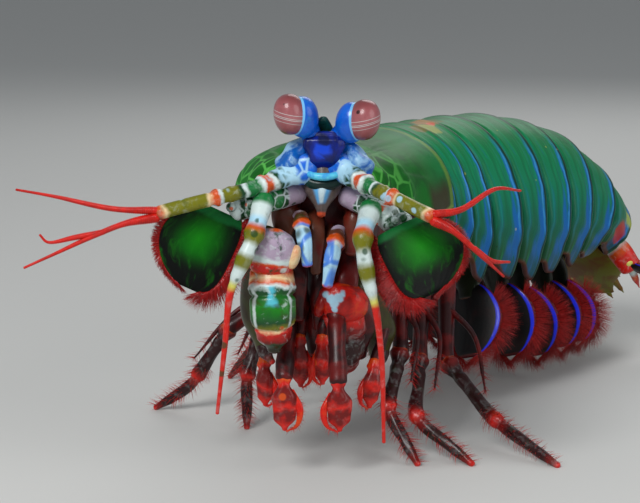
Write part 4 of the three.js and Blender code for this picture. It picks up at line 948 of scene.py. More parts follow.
def buildRings():
    names = [f"thoracic_somite_{i}" for i in (6, 7, 8)] + [f"abdomen_{i}" for i in range(1, 7)]
    grids = [ringGrid(start, end) for start, end in zip(ringEnds[:-1], ringEnds[1:])]
    scar = grids[2][24, 48]
    patches = {
        "thoracic_somite_7": [[grids[1][26, 52], 2.0, rgb(120, 92, 30), 0.7]],
        "thoracic_somite_8": [[scar, 2.6, rgb(150, 100, 36), 0.85],
                              [scar + [1, -1, 0], 1.2, rgb(190, 64, 16), 0.9],
                              [grids[2][14, 52], 2.2, rgb(150, 150, 60), 0.7]],
        "abdomen_1": [[grids[3][10, 47], 2.2, rgb(110, 100, 24), 0.6]],
        "abdomen_6": [[grids[8][20, 84], 2.6, rgb(176, 30, 24), 0.9],
                      [grids[8][26, 74], 2.2, rgb(180, 190, 60), 0.8]],
    }
    common = bodyMaterial("bodyShell")
    for name, grid in zip(names, grids):
        shell = bodyMaterial("bodyShell_" + name, patches[name]) if name in patches else common
        addGrid("shell_" + name, grid, shell, name)


# Carapace: an arched shield with two long grooves on each side, thin at its free edges.
# Across, x = half sin(a pi / 2); up, z = rise - drop |a|^2.2, with the grooves and a low neck furrow
def buildCarapace():
    t = np.linspace(0, 1, 70)
    half = profile([[0, 8.6], [0.12, 11.2], [0.35, 14.6], [0.7, 16.2], [1, 15.6]], t)
    drop = profile([[0, 4.4], [0.3, 9.5], [0.8, 13.5], [1, 12.6]], t)
    rise = bodyHeight / 2 + profile([[0, -1.2], [0.25, 0], [1, 0.35]], t)
    a = np.linspace(-1, 1, 97)
    groove = -0.45 * hump(np.abs(a) - 0.36, 0.035) * hump(t - 0.45, 0.4)[:, None]
    groove = groove - 0.3 * hump(np.abs(a) - 0.7, 0.03) * hump(t - 0.6, 0.35)[:, None]
    neck = -0.5 * hump(t - 0.42, 0.03)[:, None] * hump(a, 0.3)
    x = half[:, None] * np.sin(a * np.pi / 2)
    z = rise[:, None] - drop[:, None] * np.abs(a) ** 2.2 + groove + neck
    thin = profile([[0, 0.5], [0.05, 1], [0.95, 1], [1, 0.6]], t)[:, None]
    innerX, innerZ = x * 0.93, z - 2 * (1 - 0.45 * np.abs(a)) * thin
    fullX, fullZ = np.hstack([x, innerX[:, ::-1]]), np.hstack([z, innerZ[:, ::-1]])
    grid = inBody(trunkSizes["carapaceLength"] * t, fullX, fullZ)
    addGrid("shell_carapace", grid, carapaceShell, "carapace")


# The trunk under the carapace: an oval of growing half sizes, with low ribs 1 + 0.03 sin(40 t)
def buildCore():
    t = np.linspace(0, 1, 40)
    wide = profile([[0, 5.2], [0.3, 8.5], [1, 11]], t)[:, None]
    deep = profile([[0, 8.5], [0.4, 11], [1, 11.8]], t)[:, None]
    angle = np.arange(64) * 2 * np.pi / 64
    rib = 1 + 0.03 * np.sin(t * 40)[:, None]
    x = wide * np.cos(angle) * rib
    z = (bodyHeight / 2 - 1 - deep) + deep * np.sin(angle) * rib
    grid = inBody(2.5 + (trunkSizes["carapaceLength"] - 1.5) * t, x, z)
    addGrid("core_thorax", grid, undersideShell, "thorax_core")


buildCarapace()
buildCore()
buildRings()
print("trunk made")


# Head

eyes = {
    "right": {"centre": [-4.5, -2.2, 56.1], "foot": [-1.1, 0.2, 52.2], "axis": [-0.12, -0.1, 1],
              "bandTilt": 0.2},
    "left": {"centre": [6.6, -1.6, 55.2], "foot": [2.4, 0.4, 52], "axis": [0.16, -0.1, 1], "bandTilt": -0.22},
    "corneaHeight": 6.1,
    "corneaWidth": 4.9,
}
cheeks = {
    "right": [[-1.9, 0.4, 52.2], [-3.6, 0.2, 50.2], [-4.8, -0.5, 48.4], [-5.6, -0.6, 46.6]],
    "left": [[3.2, 0.6, 52], [4.9, 0.4, 50], [6, -0.3, 48.2], [6.6, -0.6, 46.4]],
}


def buildEyes():
    high, wide = eyes["corneaHeight"] / 2, eyes["corneaWidth"] / 2
    fold = lambda t, angle: 0.03 * np.sin(3 * angle + 4 * t)
    for side in sideSign:
        eye = eyes[side]
        centre, foot = np.array(eye["centre"]), np.array(eye["foot"])
        axis = unit(np.array(eye["axis"], float))
        grid = eggGrid(centre, axis, [0, 1, 0], high, wide + 0.25, wide, 72, 96)
        cornea = addGrid("cornea_" + side, grid, corneaShell, "eye_" + side)
        tilt = unit(np.array([eye["bandTilt"], -0.1, 1.0]))
        pointValue(cornea, "band", (gridVerts(grid) - centre) @ tilt / high)
        cupCentre = centre + unit((foot - centre) * [1, 0, 0]) * 1.9 + [0, 0.9, -0.5]
        grid = eggGrid(cupCentre, axis, [0, 1, 0], 3.1, 2.55, 2.4, 72, 96)
        cup = addGrid("cup_" + side, grid, cupShell)
        points = gridVerts(grid) - centre
        along = points @ axis
        across = np.linalg.norm(points - along[:, None] * axis, axis=1)
        pointValue(cup, "rim", np.sqrt((along / high) ** 2 + (across / (wide + 0.12)) ** 2))
        grid = limbGrid([foot, foot + (cupCentre - foot) * 0.5, cupCentre], [[0, 1.5], [0.5, 1.6], [1, 1.9]],
                        steps=50, sides=56, relief=fold)
        stalk = addGrid("stalk_" + side, grid, cupShell, "eyestalk_" + side)
        pointValue(stalk, "rim", np.full(len(gridVerts(grid)), 2.0))


def buildFace():
    bridge = eggGrid([0.6, 0.6, 51.6], [1, 0, 0], [0, 0, 1], 3.4, 1.9, 2.2)
    addGrid("bridge", bridge, plateShell, "eye_base")
    # The shield is widest above its middle and narrows to a rounded lower tip, with three upright folds
    folds = lambda t, angle: 0.05 * np.cos(3 * (angle + np.pi / 2)) - 0.03 * np.cos(9 * angle)
    limb("face_shield", faceShell, "blue_shell", [[0.6, -0.3, 47.7], [0.6, -1.1, 50], [0.6, -0.9, 53]],
         [[0, 1.2], [0.3, 2.2], [0.7, 3.1], [1, 2.8]], [[0, 0.6], [0.4, 1.2], [0.8, 1.2], [1, 0.6]], "face",
         steps=70, sides=72, relief=folds, square=0.75)
    limb("face_lip", lipShell, "blue_shell",
         [[-3, -0.2, 48.1], [-1.3, -1.8, 46.9], [0.5, -2.3, 46.7], [2.3, -1.8, 46.9], [4, -0.2, 48.1]],
         [[0, 0.35], [0.5, 0.6], [1, 0.35]], sides=20)
    limb("throat_band", throatShell, "blue_shell",
         [[-3.4, 0.4, 47], [-1.2, -0.9, 45.6], [0.5, -1.2, 45.4], [2.2, -0.9, 45.6], [4.3, 0.4, 47]],
         [[0, 0.7], [0.5, 1], [1, 0.7]], sides=24)
    # A lumpy cheek runs down from each eye's foot to the root of the first antenna
    lumps = lambda t, angle: 0.12 * np.sin(3 * angle + 5 * t) + 0.1 * np.sin(2 * angle - 13 * t)
    for side in sideSign:
        limb("cheek_" + side, cheekShell, "blue_shell", cheeks[side],
             [[0, 0.9], [0.4, 1.5], [0.75, 1.9], [1, 1.2]], steps=90, sides=56, relief=lumps)
    # A keel runs down the front of the mouth shield
    keel = lambda t, angle: 0.1 * hump(np.cos(angle), 0.25) * (np.sin(angle) > 0) - 0.03 * np.cos(6 * angle)
    limb("mouth_shield", epistomeShell, "mouth_shell", [[0.5, 1.2, 47.2], [0.3, 0.2, 44], [0.2, -0.6, 40.8]],
         [[0, 3.4], [0.35, 3], [1, 0.7]], [[0, 2.2], [0.5, 2.2], [1, 0.8]], "epistome",
         steps=70, sides=56, relief=keel)


# Rostral plate: a pointed shield that rises between the eyes. At (a across, b up) it is as wide as
# (1 - b)^0.75, rises as b^0.8 and sags toward its sides
def buildRostralPlate():
    centre, back, left, up = frameAt(0.0)
    root = centre + up * (bodyHeight / 2 - 1.2)
    a, b = np.meshgrid(np.linspace(0, 1, 33), np.linspace(0, 0.985, 30))
    x = (a - 0.5) * 7.6 * (1 - b) ** 0.75
    sag = 0.9 * (a - 0.5) ** 2 * 4 * (1 - b)
    middle = np.stack([root[0] + x + b, root[1] + 0.6 - 3 * b, root[2] + 1 + 5.6 * b ** 0.8 - sag], -1)
    dress(plateMesh("rostral_shield", middle, 1.0 - 0.3 * b, plateShell), "rostral_plate")


buildEyes()
buildFace()
buildRostralPlate()
print("head made")


# First antennae

antennules = {
    "joints": {
        "right": [[-2.3, 0.4, 47.6], [-8.7, -4, 45.6], [-15.5, -7, 44.2], [-23.4, -9, 42.3]],
        "left": [[2.9, 0.7, 47.8], [7.4, -5.6, 45.7], [11.6, -11, 44.4], [15.8, -15, 42.8]],
    },
    "whips": {
        "right": [
            [[-24, -9.1, 42.6], [-30.2, -10.5, 43.1], [-38.4, -12.5, 45.2], [-43.6, -14, 46.4]],
            [[-24, -9.1, 41.6], [-28.5, -10.5, 40.9], [-33, -12, 39.3], [-38.5, -13.4, 36.9],
             [-42.8, -14, 35]],
            [[-31.6, -11.4, 39.8], [-35.6, -12.6, 39.2], [-39.4, -13.6, 38.7], [-40.4, -14, 39.8]],
        ],
        "left": [
            [[16.3, -15.3, 43], [20.2, -12.5, 43.2], [26, -5, 45.2], [30.6, 2, 44]],
            [[16.3, -15.3, 42.1], [19, -14.6, 40.6], [23, -12.4, 36.9], [27.2, -8, 32.6]],
            [[22.4, -12.9, 37.6], [25.2, -9.5, 35.2], [28.3, -5.6, 34.3]],
        ],
    },
    "whipRoots": (0.6, 0.75, 0.42),
    "whipBeads": (150, 150, 80),
    "whipRadius": 0.34,
}


# The swollen joints of a first antenna, with fine lumps that fade toward its tip
def antennuleRelief(t, angle):
    joints = 0
    for p in (0.33, 0.64):
        joints = joints + (0.26 * hump(t - p, 0.024) - 0.14 * hump(t - p - 0.04, 0.014)
                           + 0.12 * hump(t - p + 0.09, 0.02))
    return joints + 0.05 * np.sin(3 * angle + 9 * t) + 0.05 * np.sin(2 * angle + 40 * t) * (1 - t)


def buildAntennules():
    radius = antennules["whipRadius"]
    stemWidth = [[t, 1.05 + 1.5 * (1 - t) ** 5] for t in np.linspace(0, 1, 14)]
    for side in sideSign:
        limb("antennule_" + side, antennuleShell, "banded_limb", antennules["joints"][side], stemWidth,
             node="antennule_" + side, steps=150, sides=36, relief=antennuleRelief)
        whips = zip(antennules["whips"][side], antennules["whipRoots"], antennules["whipBeads"])
        for i, (joints, root, beads) in enumerate(whips):
            beading = lambda t, angle: 0.07 * np.sin(2 * np.pi * beads * 0.5 * t)
            width = [[0, root], [0.3, radius * 1.25], [1, radius * 0.55]]
            node = "antennule_flagella_" + side if i == 0 else None
            limb(f"whip_{side}_{i}", whipShell, "red_feeler", joints, width, node=node,
                 steps=beads * 3, sides=10, relief=beading)


buildAntennules()
print("antennules made")


# Second antennae

antennae = {
    "bases": {
        "right": [[-3.4, 1.6, 43.8], [-8.4, -1.6, 42.9], [-12.6, -3, 41.8]],
        "left": [[4.2, 1.6, 43.2], [8.6, -1.6, 41.6], [12.6, -3, 39.6]],
    },
    "stalks": {
        "right": [[-8.4, -4, 43.4], [-9.9, -8, 38.4], [-11.6, -9, 34.4], [-13.2, -9, 30.6], [-14.2, -8.4, 22],
                  [-15.5, -7, 11.4]],
        "left": [[7.6, -3.4, 42], [6.3, -9, 38.2], [7, -10, 33], [8.2, -10, 28.2], [9.2, -8.6, 20],
                 [9.7, -6, 6.6]],
    },
    "stalkWidth": [[0, 1.7], [0.12, 1.35], [0.17, 1.6], [0.22, 1.1], [0.29, 1.25], [0.36, 0.95], [0.41, 0.6],
                   [0.6, 0.45], [1, 0.28]],
    "paddles": {
        "right": {"root": [-14.4, -4, 41.6], "down": [-0.42, -0.16, -0.89], "out": [-0.86, -0.22, 0.44]},
        "left": {"root": [11.4, -4.8, 39.4], "down": [0.4, -0.6, -0.7], "out": [0.86, 0.1, 0.4]},
    },
    # Place off the base and size of each small knob at its end
    "knobs": [([0, -1.6, -0.8], 0.95), ([0.9, -1.7, 0.6], 0.8), ([-1.1, -1.5, 0.5], 0.75)],
    "paddleLength": 13.4,
    "paddleWidth": 12.4,
    "hairsPerPaddle": 2300,
    "hairLength": 2.3,
}


def buildAntennae():
    lumps = lambda t, angle: (0.12 * np.sin(3 * angle + 5 * t) * hump(t - 0.7, 0.2)
                              + 0.1 * np.sin(26 * t) * hump(t - 0.75, 0.2))
    rings = lambda t, angle: 0.05 * np.sin(700 * t) * ease((t - 0.42) / 0.05)
    for side in sideSign:
        limb("antenna_root_" + side, baseShell, "banded_limb", antennae["bases"][side],
             [[0, 1.7], [0.45, 1.9], [0.75, 2.3], [1, 1.7]], [[0, 1.7], [0.5, 1.7], [0.8, 1.9], [1, 1.5]],
             "antenna_base_" + side, sides=48, relief=lumps)
        inner, tip = (np.array(antennae["bases"][side][k], float) for k in (1, 2))
        for k, (shift, size) in enumerate(antennae["knobs"]):
            centre = inner + (tip - inner) * (0.5 + 0.2 * k) + shift
            knob = eggGrid(centre, [0.4, -1, 0.3], [1, 0, 0], size * 1.1, size, size)
            addGrid(f"antenna_knob_{k}_{side}", knob, knobShell)
        spec, length, width = antennae["paddles"][side], antennae["paddleLength"], antennae["paddleWidth"]
        surface = lambda a, b: paddleGrid(spec, length, width, 0.06, a, b)
        a, b = np.meshgrid(np.linspace(0, 1, 49), np.linspace(0, 1, 60))
        thickness = 1.1 - 0.5 * np.abs(2 * a - 1) ** 2 + 0.12 * hump(a - 0.5, 0.04) + 0.02 * np.sin(60 * a)
        plate = plateMesh("paddle_" + side, surface(a, b), thickness, paddleShell)
        dress(plate, "antennal_scale_" + side)
        rimHairs("paddle_fringe_" + side, surface, antennae["hairsPerPaddle"],
                 antennae["hairLength"], 0.06, fringeHair, start=0.3, spread=0.06, edges=(1.35, 0.42))
        limb("antenna_" + side, stalkShell, "banded_limb", antennae["stalks"][side], antennae["stalkWidth"],
             node="antenna_" + side, steps=420, sides=28, relief=rings)


buildAntennae()
print("antennae made")


# Mouth limbs

mouthLimbs = {
    "first": {
        "right": [[-3, 6.6, 39], [-2.9, -0.6, 39.8], [-2.2, -4.6, 36.6], [-1.9, -4.8, 33.8]],
        "left": [[3, 6.6, 37], [2.6, -0.6, 37.4], [1.7, -4.6, 34.4], [1.1, -4.8, 30.6]],
    },
    "raptors": {
        "right": {"elbow": [-8.4, 3.4, 19], "wrist": [-8.2, -0.6, 37.6], "heel": [-6.9, -4.6, 21.4],
                  "root": [-4.6, 13, 35]},
        "left": {"elbow": [9.6, 13.4, 15.6], "wrist": [5.6, 10.4, 27.4], "heel": [3.6, 8.4, 14.8],
                 "root": [7, 18, 34]},
    },
    # Each hand: root, knee, wrist and tip, then the half width of its palm
    "hands": {
        "right": [
            ([[-3.6, 13, 34], [-5, 3.4, 22.5], [-5.5, -2, 15.8], [-5.4, -3.2, 7.8]], 2.1),
            ([[-1.6, 11, 34], [-2.6, 5, 25], [-3.2, 3.4, 20.5], [-3, 3.4, 13]], 1.5),
            ([[-4.8, 18, 34], [-8.6, 9.4, 21], [-8.8, 6.6, 16], [-8.6, 5.4, 9.4]], 1.5),
        ],
        "left": [
            ([[3, 12, 34], [2.6, 0.4, 22.5], [2.8, -3, 15.4], [3, -3.6, 7.8]], 2.1),
            ([[1.4, 11, 34], [0.8, 4.6, 25], [0.4, 3.2, 20.5], [0.4, 3.4, 13.4]], 1.4),
            ([[9, 21, 34], [10.4, 12.4, 21], [8.6, 7.6, 15.4], [7.8, 5.6, 9]], 1.5),
        ],
    },
    # The swollen wrist joint at the top of each club
    "domes": {
        "right": {"centre": [-7.3, -4.4, 35.4], "axis": [0.06, -0.2, 0.98],
                  "long": 3.9, "wide": 4.0, "deep": 2.7},
        "left": {"centre": [3.6, 3.4, 26.4], "axis": [0.3, -0.2, 0.93],
                 "long": 3.2, "wide": 4.1, "deep": 2.8},
    },
    "combHairs": 130,
    # Soft lobes round the mouth: joints and half width
    "lobes": [
        [[[-4.4, 6.4, 42], [-5.2, 2.4, 41], [-5.8, 1.6, 35.5]], 2.1],
        [[[4.6, 6.4, 41], [5.6, 2.6, 40], [4.9, 1.8, 34.5]], 2.0],
        [[[-0.9, 6, 40], [-0.8, 1.6, 38], [-0.6, 1.4, 31.5]], 1.5],
        [[[1.6, 6.4, 38], [2, 2.2, 36], [1.5, 1.8, 30]], 1.4],
        [[[-3.4, 8, 34], [-3.6, 2.8, 31], [-3.2, 2.4, 24]], 1.7],
        [[[3.4, 8, 33], [4, 3.6, 30], [3.6, 3.2, 24.5]], 1.9],
        [[[0, 9, 33], [0.2, 4.4, 29], [0.1, 4.6, 22]], 2.2],
        [[[0.2, 10, 28], [0, 6.2, 22], [-0.4, 6.6, 16]], 2.8],
        [[[6, 12, 28], [6.4, 9.6, 22], [6, 9.4, 16.5]], 2.6],
    ],
}


def buildMouth():
    fold = lambda t, angle: 0.06 * np.sin(4 * angle + 6 * t)
    for i, (joints, half) in enumerate(mouthLimbs["lobes"]):
        limb(f"mouth_lobe_{i}", lobeShell if i < 4 else stemShell, "mouth_shell", joints,
             [[0, half], [0.5, half], [1, half * 0.55]], [[0, half * 0.8], [1, half * 0.4]],
             steps=50, sides=32, relief=fold)


def buildFirstLimb(side):
    flat = lambda t, angle: (0.08 * np.cos(4 * angle) + 0.2 * hump(t - 0.55, 0.03)
                             - 0.12 * hump(t - 0.62, 0.03))
    limb("first_limb_" + side, firstShell, "mouth_shell", mouthLimbs["first"][side],
         [[0, 1], [0.4, 1.2], [0.7, 1.1], [1, 0.75]], [[0, 1], [0.5, 0.9], [1, 0.6]], "maxilliped_1_" + side,
         steps=90, sides=36, relief=flat)


# A smashing limb: upper arm and its root, elbow tip, swollen wrist with an ear beside it, and the club
def buildRaptor(side):
    sign = sideSign[side]
    r = {k: np.array(p, float) for k, p in mouthLimbs["raptors"][side].items()}
    middle = r["elbow"] + (r["wrist"] - r["elbow"]) * 0.4 + [sign * 1.1, 1.2, 0]
    limb("upper_arm_" + side, armShell, "arm", [r["elbow"] + [0, 0.4, 0.2], middle, r["wrist"]],
         [[0, 1.7], [0.3, 3], [0.75, 2.8], [1, 1.9]], [[0, 1.8], [0.3, 2.7], [0.75, 2.4], [1, 1.8]],
         "raptorial_arm_" + side, sides=40)
    bend = r["elbow"] + (r["root"] - r["elbow"]) * 0.18 + [0, 0.6, 0.6]
    limb("arm_root_" + side, armShell, "arm", [r["root"], bend, r["elbow"] + [0, 0.8, 1]], [[0, 2], [1, 1.5]],
         steps=30)
    tip = r["elbow"] + [sign * 0.2, -0.6, -0.2]
    limb("elbow_tip_" + side, farClubShell, "arm",
         [tip + [0, 0.6, 2.4], tip, tip + [sign * -1.2, -1.0, -1.6]], [[0, 1.1], [0.5, 1.2], [1, 0.5]],
         steps=30, sides=24)
    wristPaint, earPaint, clubPaint = farWristShell, farWristShell, farClubShell
    if side == "right":
        wristPaint, earPaint, clubPaint = wristShell, earShell, clubShell
    dome = mouthLimbs["domes"][side]
    centre = np.array(dome["centre"])
    wrist = eggGrid(centre, dome["axis"], [1, 0, 0], dome["long"], dome["wide"], dome["deep"], 80, 96)
    wrist += 0.12 * np.sin(wrist[..., :1] * 2.2) * np.cos(wrist[..., 2:] * 1.7) * [1, 0.5, 0]
    addGrid("wrist_" + side, wrist, wristPaint)
    ear = eggGrid(centre + [-sign * dome["wide"] * 0.86, -0.9, -0.4], [0.3, 0, 1], [0, 1, 0], 1.9, 1.2, 0.9)
    addGrid("wrist_ear_" + side, ear, earPaint)
    furrow = lambda t, angle: (-0.08 * hump(np.sin(angle + 0.4), 0.25) * hump(t - 0.6, 0.3)
                               - 0.12 * hump(t - 0.3, 0.025) + 0.05 * hump(t - 0.2, 0.03)
                               - 0.1 * hump(t - 0.7, 0.02))
    start = centre + [0, 0.4, -dome["long"] * 0.75]
    limb("club_" + side, clubPaint, "club",
         [start, (start + r["heel"]) / 2 + [0, -0.9, 0.4], r["heel"] + [0, 0, -0.6]],
         [[0, 3.3], [0.15, 3.5], [0.55, 3.5], [0.84, 2.6], [1, 1.1]],
         [[0, 1.8], [0.22, 2.2], [0.62, 2.7], [0.86, 2.1], [1, 1]], "raptorial_claw_" + side,
         steps=130, sides=64, relief=furrow)


# A jointed stem with a knob at the wrist, a flat palm, a finger curved along its inner edge and a comb
def buildHand(side, order, joints, wide):
    label = f"{order + 3}_{side}"
    root, knee, wrist, tip = (np.array(p, float) for p in joints)
    stout = 1.7 if order == 0 else 1.15
    inward = np.array([-sideSign[side], 0, 0.0])
    step = tip - wrist
    joint = lambda t, angle: (0.16 * hump(t - 0.52, 0.04) - 0.14 * hump(t - 0.6, 0.03)
                              + 0.14 * hump(t - 0.9, 0.05))
    limb("stem_" + label, stemShell, "hand", [root, knee, wrist],
         [[0, 1.4], [0.45, stout], [0.85, 0.75 * stout], [1, 0.8 * stout]],
         [[0, 1.2], [0.5, stout * 0.7], [1, 0.7 * stout]], steps=80, relief=joint)
    dents = lambda t, angle: 0.05 * np.sin(5 * angle + 8 * t) - 0.06 * hump(t - 0.18, 0.04)
    limb("hand_" + label, handShell, "hand", [wrist - step * 0.06, (wrist + tip) / 2 + [0, -0.5, 0], tip],
         [[0, 0.9], [0.12, 1.15], [0.2, 0.95], [0.45, wide * 0.95], [0.8, wide * 0.8], [1, 0.4]],
         [[0, 0.9], [0.45, 0.85], [1, 0.35]], "maxilliped_" + label, steps=90, sides=44, relief=dents)
    curve = [wrist + step * 0.28 + inward * wide * 0.55,
             wrist + step * 0.6 + inward * wide * 1.12 + [0, -0.6, 0],
             wrist + step * 0.9 + inward * wide * 0.9 + [0, -0.7, 0],
             tip + inward * 0.3 + [0, -0.5, -0.2]]
    finger = limb("finger_" + label, fingerShell, "hand", curve, [[0, 0.45], [0.4, 0.55], [1, 0.14]],
                  [[0, 0.4], [1, 0.12]], sides=18)
    sleeveBristles("comb_" + label, finger, mouthLimbs["combHairs"], 0.15, 0.95, 0.9, 0.04, lean=0.3)


buildMouth()
for side in sideSign:
    buildFirstLimb(side)
    buildRaptor(side)
    for order, (joints, wide) in enumerate(mouthLimbs["hands"][side]):
        buildHand(side, order, joints, wide)
print("mouth limbs made")


# Walking legs

legs = {
    # Root, knee, ankle and foot of each leg
    "plans": [
        {"right": [[6, 33, 34], [-10.2, 30, 17], [-12.4, 27, 8], [-12.4, 24.6, 0]],
         "left": [[13.6, 29, 33], [13.2, 16.8, 15.6], [11, 8.8, 7.8], [15.4, 3.2, 0]]},
        {"right": [[8, 40, 33], [-15.6, 34, 15.6], [-22.6, 36, 5], [-29, 37.4, 0]],
         "left": [[18, 34, 33], [16.4, 19, 14], [15.6, 9, 6.4], [24, 3.2, 0]]},
        {"right": [[11.6, 46.4, 33], [-6, 50, 15], [-12.4, 55, 7], [-17, 60, 0]],
         "left": [[22.4, 39.4, 33], [21, 22, 12.6], [28, 12.6, 5.4], [37.4, 2.4, 0]]},
    ],
    "footHalf": 0.9,
    "bristlesPerLeg": 260,
    "bristlesPerBranch": 70,
}


# A stout root, the shin down to the foot, the thin branch beside it, and the bristles of both
def buildLeg(side, order, plan):
    label = f"{order + 1}_{side}"
    root, knee, ankle, foot = (np.array(p, float) for p in plan)
    limb("leg_root_" + label, stemShell, "leg", [root, (root + knee) / 2 + [0, 0, -1], knee],
         [[0, 1.9], [0.5, 1.5], [0.9, 1.25], [1, 1.4]], steps=50)
    half = legs["footHalf"]
    joints = lambda t, angle: (0.22 * hump(t - 0.04, 0.03) - 0.2 * hump(t - 0.12, 0.03)
                               + 0.12 * hump(t - 0.5, 0.03) - 0.16 * hump(t - 0.56, 0.02)
                               + 0.05 * np.sin(4 * angle + 20 * t))
    path = [knee, (knee + ankle) / 2, ankle, ankle + (foot - ankle) * 0.55, foot + [0, 0, half * 0.35]]
    shin = limbGrid(path, [[0, 1.35], [0.3, 1.05], [0.52, 1.25], [0.6, 1], [0.85, 0.9], [1, half * 0.55]],
                    [[0, 1.2], [0.3, 0.85], [0.52, 1.05], [0.6, 0.8], [1, half * 0.6]],
                    steps=150, sides=32, relief=joints)
    shin[..., 2] = np.maximum(shin[..., 2], 0.0)
    addGrid("leg_" + label, shin, legShell, "leg_" + label)
    branchRoot = root + (knee - root) * 0.62
    branchTip = knee + (ankle - knee) * 0.5 + [sideSign[side] * 2.6, -1, 0]
    branchMiddle = branchRoot + (branchTip - branchRoot) * 0.4 + [sideSign[side] * 2, 0, 0.6]
    branch = limb("leg_branch_" + label, stemShell, "leg", [branchRoot, branchMiddle, branchTip],
                  [[0, 0.55], [0.7, 0.36], [1, 0.16]], steps=50, sides=14)
    sleeveBristles("leg_bristles_" + label, shin, legs["bristlesPerLeg"], 0.42, 0.97, 1.7, 0.05)
    sleeveBristles("branch_bristles_" + label, branch, legs["bristlesPerBranch"], 0.6, 0.99, 1.8, 0.05)


for order, plan in enumerate(legs["plans"]):
    for side in sideSign:
        buildLeg(side, order, plan[side])
print("legs made")


# Swimming limbs

swimmers = {"stem": 7.0, "length": 11.8, "width": 10.0, "hairs": 1500, "hairLength": 3.4,
            "lean": [-0.42, -0.06, 0.1, 0.16, 0.34]}


# A broad stalk, and a fringed plate that stops short of the floor
def buildSwimmer(side, order):
    sign = sideSign[side]
    start, end = ringEnds[3 + order], ringEnds[4 + order]
    centre, back, left, up = frameAt(start + (end - start) * 0.55)
    drop = bodyHeight / 2 - bodyHeight * float(profile(depthAlong, start)) * 0.9 + 1
    root = centre + left * sign * 6.6 + up * drop
    down = unit(np.array([0, 0, -1.0]) + left * sign * 0.3 + back * swimmers["lean"][order])
    out = unit(left * sign - down * (left @ down) * sign)
    stem = swimmers["stem"]
    total = min(stem + swimmers["length"], (root[2] - swimmers["hairLength"] - 0.4) / -down[2])
    name = f"pleopod_{order + 1}_{side}"
    limb("stalk_" + name, swimmerStemShell, "swimmer",
         [root - down * 2.4, root + down * (stem - 2.4) / 2, root + down * stem],
         [[0, 2.5], [0.5, 2.8], [1, 2.0]], [[0, 1.1], [1, 0.9]], steps=40, sides=36, face=np.cross(down, out))
    spec = {"root": root + down * (stem - 2), "down": down, "out": out}
    surface = lambda a, b: paddleGrid(spec, total - stem + 2, swimmers["width"], 0.05, a, b)
    a, b = np.meshgrid(np.linspace(0, 1, 41), np.linspace(0, 1, 44))
    plate = plateMesh("plate_" + name, surface(a, b), 0.9 - 0.4 * np.abs(2 * a - 1) ** 2, swimmerShell)
    dress(plate, name)
    rimHairs("fringe_" + name, surface, swimmers["hairs"], swimmers["hairLength"], 0.035,
             swimmerHair, start=0.8, spread=0.09)


for order in range(5):
    for side in sideSign:
        buildSwimmer(side, order)
print("swimming limbs made")


# Tail fan

tail = {
    # Place across and along the telson, and length, of each tooth of its hind edge
    "teeth": [[0.86, 0.5, 3.0], [0.76, 0.74, 3.0], [0.34, 0.84, 3.4]],
    "keels": (-0.7, -0.4, 0, 0.4, 0.7),
    "overlap": 1.6,
    "fringeHairs": 800,
}


# Telson: a flat oval of half sizes wide and thick, with five keels along its upper face
def buildTelson():
    t = np.linspace(0, 1, 60)
    s = tailStart - tail["overlap"] + (trunkSizes["telsonLength"] - 3) * t
    wide = profile([[0, 7.6], [0.15, 10.4], [0.5, 10.2], [1, 5.4]], t)[:, None]
    thick = profile([[0, 2.2], [0.3, 3.1], [1, 1]], t)[:, None]
    rise = profile([[0, 4.6], [1, 2.4]], t)[:, None]
    angle = np.arange(80) * 2 * np.pi / 80
    keel = sum(0.5 * hump(np.cos(angle) - k, 0.07) for k in tail["keels"]) * (np.sin(angle) > 0)
    z = rise + thick * np.sin(angle) + keel * ease((t - 0.1) / 0.2)[:, None]
    fan = inBody(s, wide * np.cos(angle), z)
    fan[..., 2] = np.maximum(fan[..., 2], 0.0)
    addGrid("telson", fan, tailShell, "telson")
    for i, (across, along, size) in enumerate(tail["teeth"]):
        centre, back, left, up = frameAt(tailStart - tail["overlap"] + trunkSizes["telsonLength"] * along)
        for side, sign in sideSign.items():
            away = unit(back + left * sign * 0.3)
            root = centre + left * sign * across * 8.4 + up * 3
            joints = [root - away * 1.4, root + away * size * 0.5, root + away * size]
            limb(f"tail_tooth_{i}_{side}", tailShell, "tail", joints, [[0, 0.9], [0.7, 0.5], [1, 0.1]],
                 steps=30, sides=16)


# A tail limb: its base, a fringed paddle that stops short of the floor, and a prong
def buildUropod(side):
    centre, back, left, up = frameAt(tailStart - 2.0)
    out = left * sideSign[side]
    root = centre + out * 9.4 + up * 1.2
    shaft = centre + out * 14.4 - up * 0.6 + back * 6.4
    down = unit(back * [1, 1, 0]) * 0.72 + out * 0.42
    down[2] = -0.62
    down = unit(down)
    across = unit(out - down * (out @ down))
    limb("uropod_root_" + side, uropodShell, "tail", [root, (root + shaft) / 2 + [0, 0, 0.6], shaft],
         [[0, 1.6], [0.6, 2.4], [1, 2.2]], [[0, 1.5], [0.6, 1.7], [1, 1.4]], steps=50, sides=32)
    reach = min(13, (shaft[2] - 0.8) / -down[2])
    spec = {"root": shaft + across * 0.96 - down * 0.8, "down": unit(down + across * 0.34), "out": across}
    surface = lambda a, b: paddleGrid(spec, reach, 6.4, 0.05, a, b)
    a, b = np.meshgrid(np.linspace(0, 1, 33), np.linspace(0, 1, 44))
    plate = plateMesh("uropod_" + side, surface(a, b), 1.0 - 0.4 * np.abs(2 * a - 1), swimmerShell)
    dress(plate, "uropod_" + side)
    rimHairs("uropod_fringe_" + side, surface, tail["fringeHairs"], 2.2, 0.05, fringeHair,
             start=0.5, spread=0.08)
    limb("uropod_prong_" + side, uropodShell, "tail",
         [shaft - back * 1.2, shaft + back * 3, shaft + back * 6.2], [[0, 1.0], [0.6, 0.7], [1, 0.12]],
         steps=40, sides=20)


buildTelson()
for side in sideSign:
    buildUropod(side)
print("tail made")


# Stage, light and camera

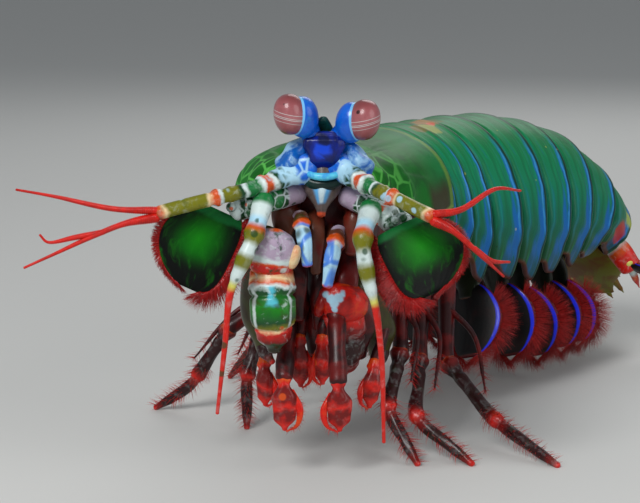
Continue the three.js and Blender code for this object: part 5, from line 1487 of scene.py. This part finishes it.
studio = {
    "floorHalf": 3.0,
    "floorColor": (0.62, 0.62, 0.6, 1),
    "lightTarget": (0, 0, 0.03),
    "lights": {
        "key": {"place": (-0.2, -0.42, 0.4), "size": 0.26, "power": 2.3},
        "fill": {"place": (0.45, -0.3, 0.25), "size": 0.4, "power": 0.9},
        "rim": {"place": (0.12, 0.45, 0.4), "size": 0.4, "power": 0.7},
    },
    "worldColor": (0.72, 0.76, 0.8, 1),
    "worldStrength": 0.34,
}
view = {"distance": 267.0, "height": 82.0, "pitch": 10.0, "lens": 100.0}


def buildStage():
    mesh = bpy.data.meshes.new("floor")
    size = studio["floorHalf"]
    corners = [(-size, -size, 0), (size, -size, 0), (size, size, 0), (-size, size, 0)]
    mesh.from_pydata(corners, [], [(0, 1, 2, 3)])
    floor = bpy.data.objects.new("floor", mesh)
    bpy.context.scene.collection.objects.link(floor)
    material = bpy.data.materials.new("floorPaint")
    material.use_nodes = True
    shader = material.node_tree.nodes["Principled BSDF"]
    shader.inputs["Base Color"].default_value = studio["floorColor"]
    shader.inputs["Roughness"].default_value = 0.8
    mesh.materials.append(material)


def buildLights():
    for name, lamp in studio["lights"].items():
        data = bpy.data.lights.new(name, "AREA")
        data.shape = "DISK"
        data.size = lamp["size"]
        data.energy = lamp["power"]
        light = bpy.data.objects.new(name, data)
        light.location = lamp["place"]
        direction = Vector(np.subtract(studio["lightTarget"], lamp["place"]))
        light.rotation_euler = direction.to_track_quat("-Z", "Y").to_euler()
        bpy.context.scene.collection.objects.link(light)
    world = bpy.data.worlds.new("softWorld")
    world.use_nodes = True
    background = world.node_tree.nodes["Background"]
    background.inputs[0].default_value = studio["worldColor"]
    background.inputs[1].default_value = studio["worldStrength"]
    bpy.context.scene.world = world


def buildCamera():
    data = bpy.data.cameras.new("camera")
    data.lens = view["lens"]
    data.sensor_width = 36
    data.sensor_fit = "HORIZONTAL"
    data.clip_start = 0.01
    data.clip_end = 20
    camera = bpy.data.objects.new("camera", data)
    camera.location = np.array([0, -view["distance"], view["height"]]) * mm + origin
    camera.rotation_euler = (math.radians(90 - view["pitch"]), 0, 0)
    bpy.context.scene.collection.objects.link(camera)
    bpy.context.scene.camera = camera


buildStage()
buildLights()
buildCamera()
bpy.context.scene.view_settings.view_transform = "Standard"
print("stage made")
